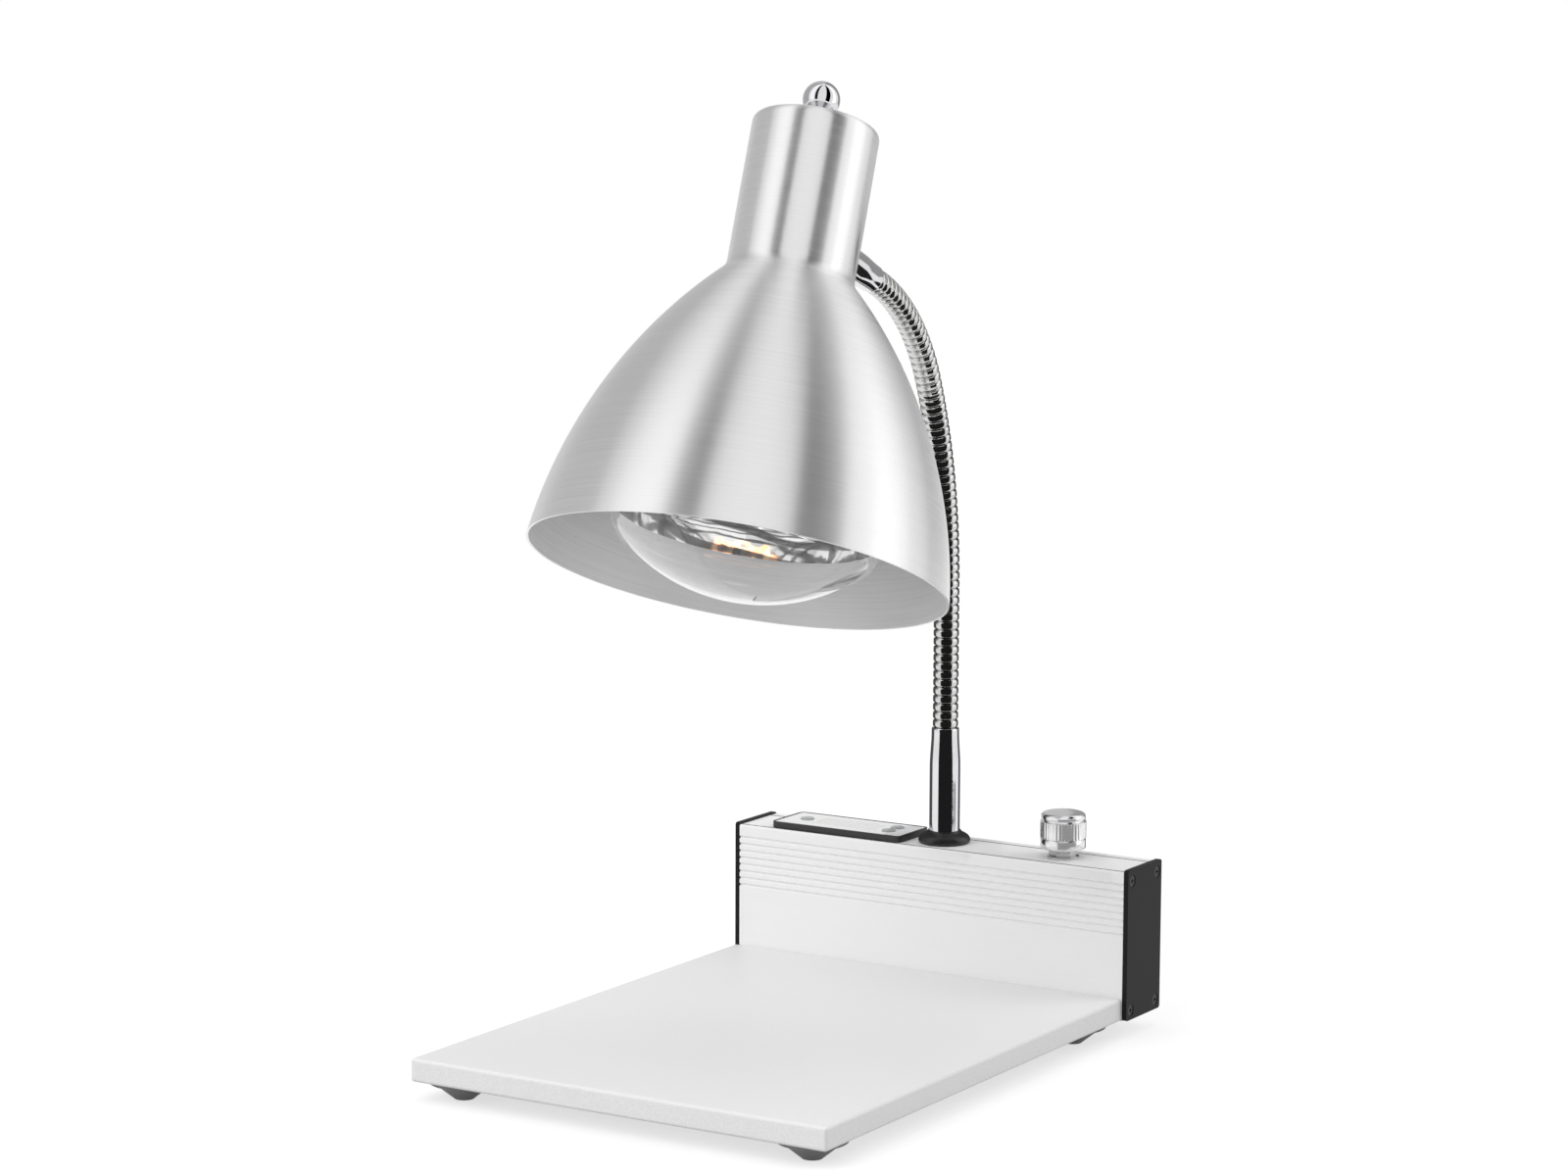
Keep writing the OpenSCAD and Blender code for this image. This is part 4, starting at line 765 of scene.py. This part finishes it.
lamp("key", -55, 36, 2.4, (2.2, 2.4), 38)
lamp("fill", 98, 32, 2.4, (1.4, 2.0), 19)
lamp("top", 0, 89, 2.4, (1.6, 1.6), 8)


def unseen(obj, grey):
    """Turns obj into a grey or bright card that only reflections see."""
    mat = bpy.data.materials.new(obj.name)
    mat.use_nodes = True
    shader = mat.node_tree.nodes["Principled BSDF"]
    shader.inputs["Base Color"].default_value = (0, 0, 0, 1)
    shader.inputs["Specular IOR Level"].default_value = 0.0
    shader.inputs["Emission Color"].default_value = (1, 1, 1, 1)
    shader.inputs["Emission Strength"].default_value = grey
    mat.cycles.emission_sampling = "NONE"
    obj.data.materials.append(mat)
    for ray in ("camera", "diffuse", "shadow", "transmission"):
        setattr(obj, "visible_" + ray, False)


def card(name, matrix, size, grey):
    """A flat card, for the bands on bright metal."""
    bpy.ops.mesh.primitive_plane_add(size=1)
    obj = bpy.context.object
    obj.name = name
    obj.matrix_world = matrix @ Matrix.Diagonal((*size, 1, 1))
    unseen(obj, grey)


def strip(name, turn, distance, half_angle, reach, grey):
    """A card along the shade's axis, so that it shows as one band from the mouth to the neck."""
    aside = round_object(turn, 0, 1.0) - Vector((0, 0, MID_Z))
    aside = (aside - SHADE_AXIS * aside.dot(SHADE_AXIS)).normalized()
    middle = HEAD_MID + aside * distance + SHADE_AXIS * (reach[0] + reach[1]) / 2
    across = SHADE_AXIS.cross(aside).normalized()
    turned = Matrix((across, SHADE_AXIS, across.cross(SHADE_AXIS))).transposed().to_4x4()
    width = 2 * distance * math.tan(math.radians(half_angle))
    card(name, Matrix.Translation(middle) @ turned, (width, reach[1] - reach[0]), grey)


TALL = (-0.4, 14.0)
strip("dark_left", -32.5, 1.7, 8.5, TALL, 0.02)
strip("dark_right", 38, 1.7, 13.5, TALL, 0.0)
strip("bright_left", -58, 1.9, 12, TALL, 1.28)
strip("bright_right", 88, 1.9, 13, TALL, 1.5)
strip("grey_left", -112, 1.9, 28, TALL, 0.5)
strip("grey_right", 148, 1.9, 26, TALL, 0.35)
strip("grey_back", -164, 1.9, 25, TALL, 0.6)


def curved_card(name, points, faces, grey):
    """A card from points in metres."""
    mesh = bpy.data.meshes.new(name)
    mesh.from_pydata(points, [], faces)
    obj = bpy.data.objects.new(name, mesh)
    scene.collection.objects.link(obj)
    unseen(obj, grey)


def shield(name, middle_x, turns, distance, heights, grey):
    """A curved card round the gooseneck or the knob, for the bands on their bright metal.

    turns and distance are as for round_object, and heights are in metres.
    """
    steps = 16
    points = []
    for k in range(steps + 1):
        side = round_object(turns[0] + (turns[1] - turns[0]) * k / steps, 0, distance)
        points += [(side.x + middle_x * MM, side.y + MID_Y * MM, z) for z in heights]
    curved_card(name, points, [(2 * k, 2 * k + 1, 2 * k + 3, 2 * k + 2) for k in range(steps)], grey)


shield("dark_low", 0, (-46, 50), 0.03, (0.078, 0.30), 0.015)
shield("side_left", 0, (-160, -98), 0.03, (0.078, 0.33), 0.1)
shield("side_right", 0, (106, 160), 0.03, (0.078, 0.33), 0.1)



def sleeve(name, reach, sides, distance, grey):
    """A curved card that follows the tube's centre line, from side to side round it.

    sides are angles in degrees from +X towards the outside of the bend.
    """
    rows, columns = 24, 8
    points, faces = [], []
    for i in range(rows + 1):
        u = reach[0] + (reach[1] - reach[0]) * i / rows
        centre, lean = line_at(u), lean_at(u)
        outside = Vector((0, math.cos(lean), math.sin(lean)))
        for k in range(columns + 1):
            angle = math.radians(sides[0] + (sides[1] - sides[0]) * k / columns)
            away = math.cos(angle) * Vector((1, 0, 0)) + math.sin(angle) * outside
            points.append((centre + distance * away) * MM)
    for i in range(rows):
        for k in range(columns):
            a = i * (columns + 1) + k
            faces.append((a, a + 1, a + columns + 2, a + columns + 1))
    curved_card(name, points, faces, grey)


sleeve("dark_bend", (160, FLEX_L + 40), (-52, 2), 40.0, 0.02)
shield("knob_front", KNOB_X, (-28, 57), 0.04, (0.070, 0.100), 0.33)
shield("knob_back", KNOB_X, (118, 168), 0.025, (0.070, 0.101), 0.05)

scene.view_settings.view_transform = "Standard"
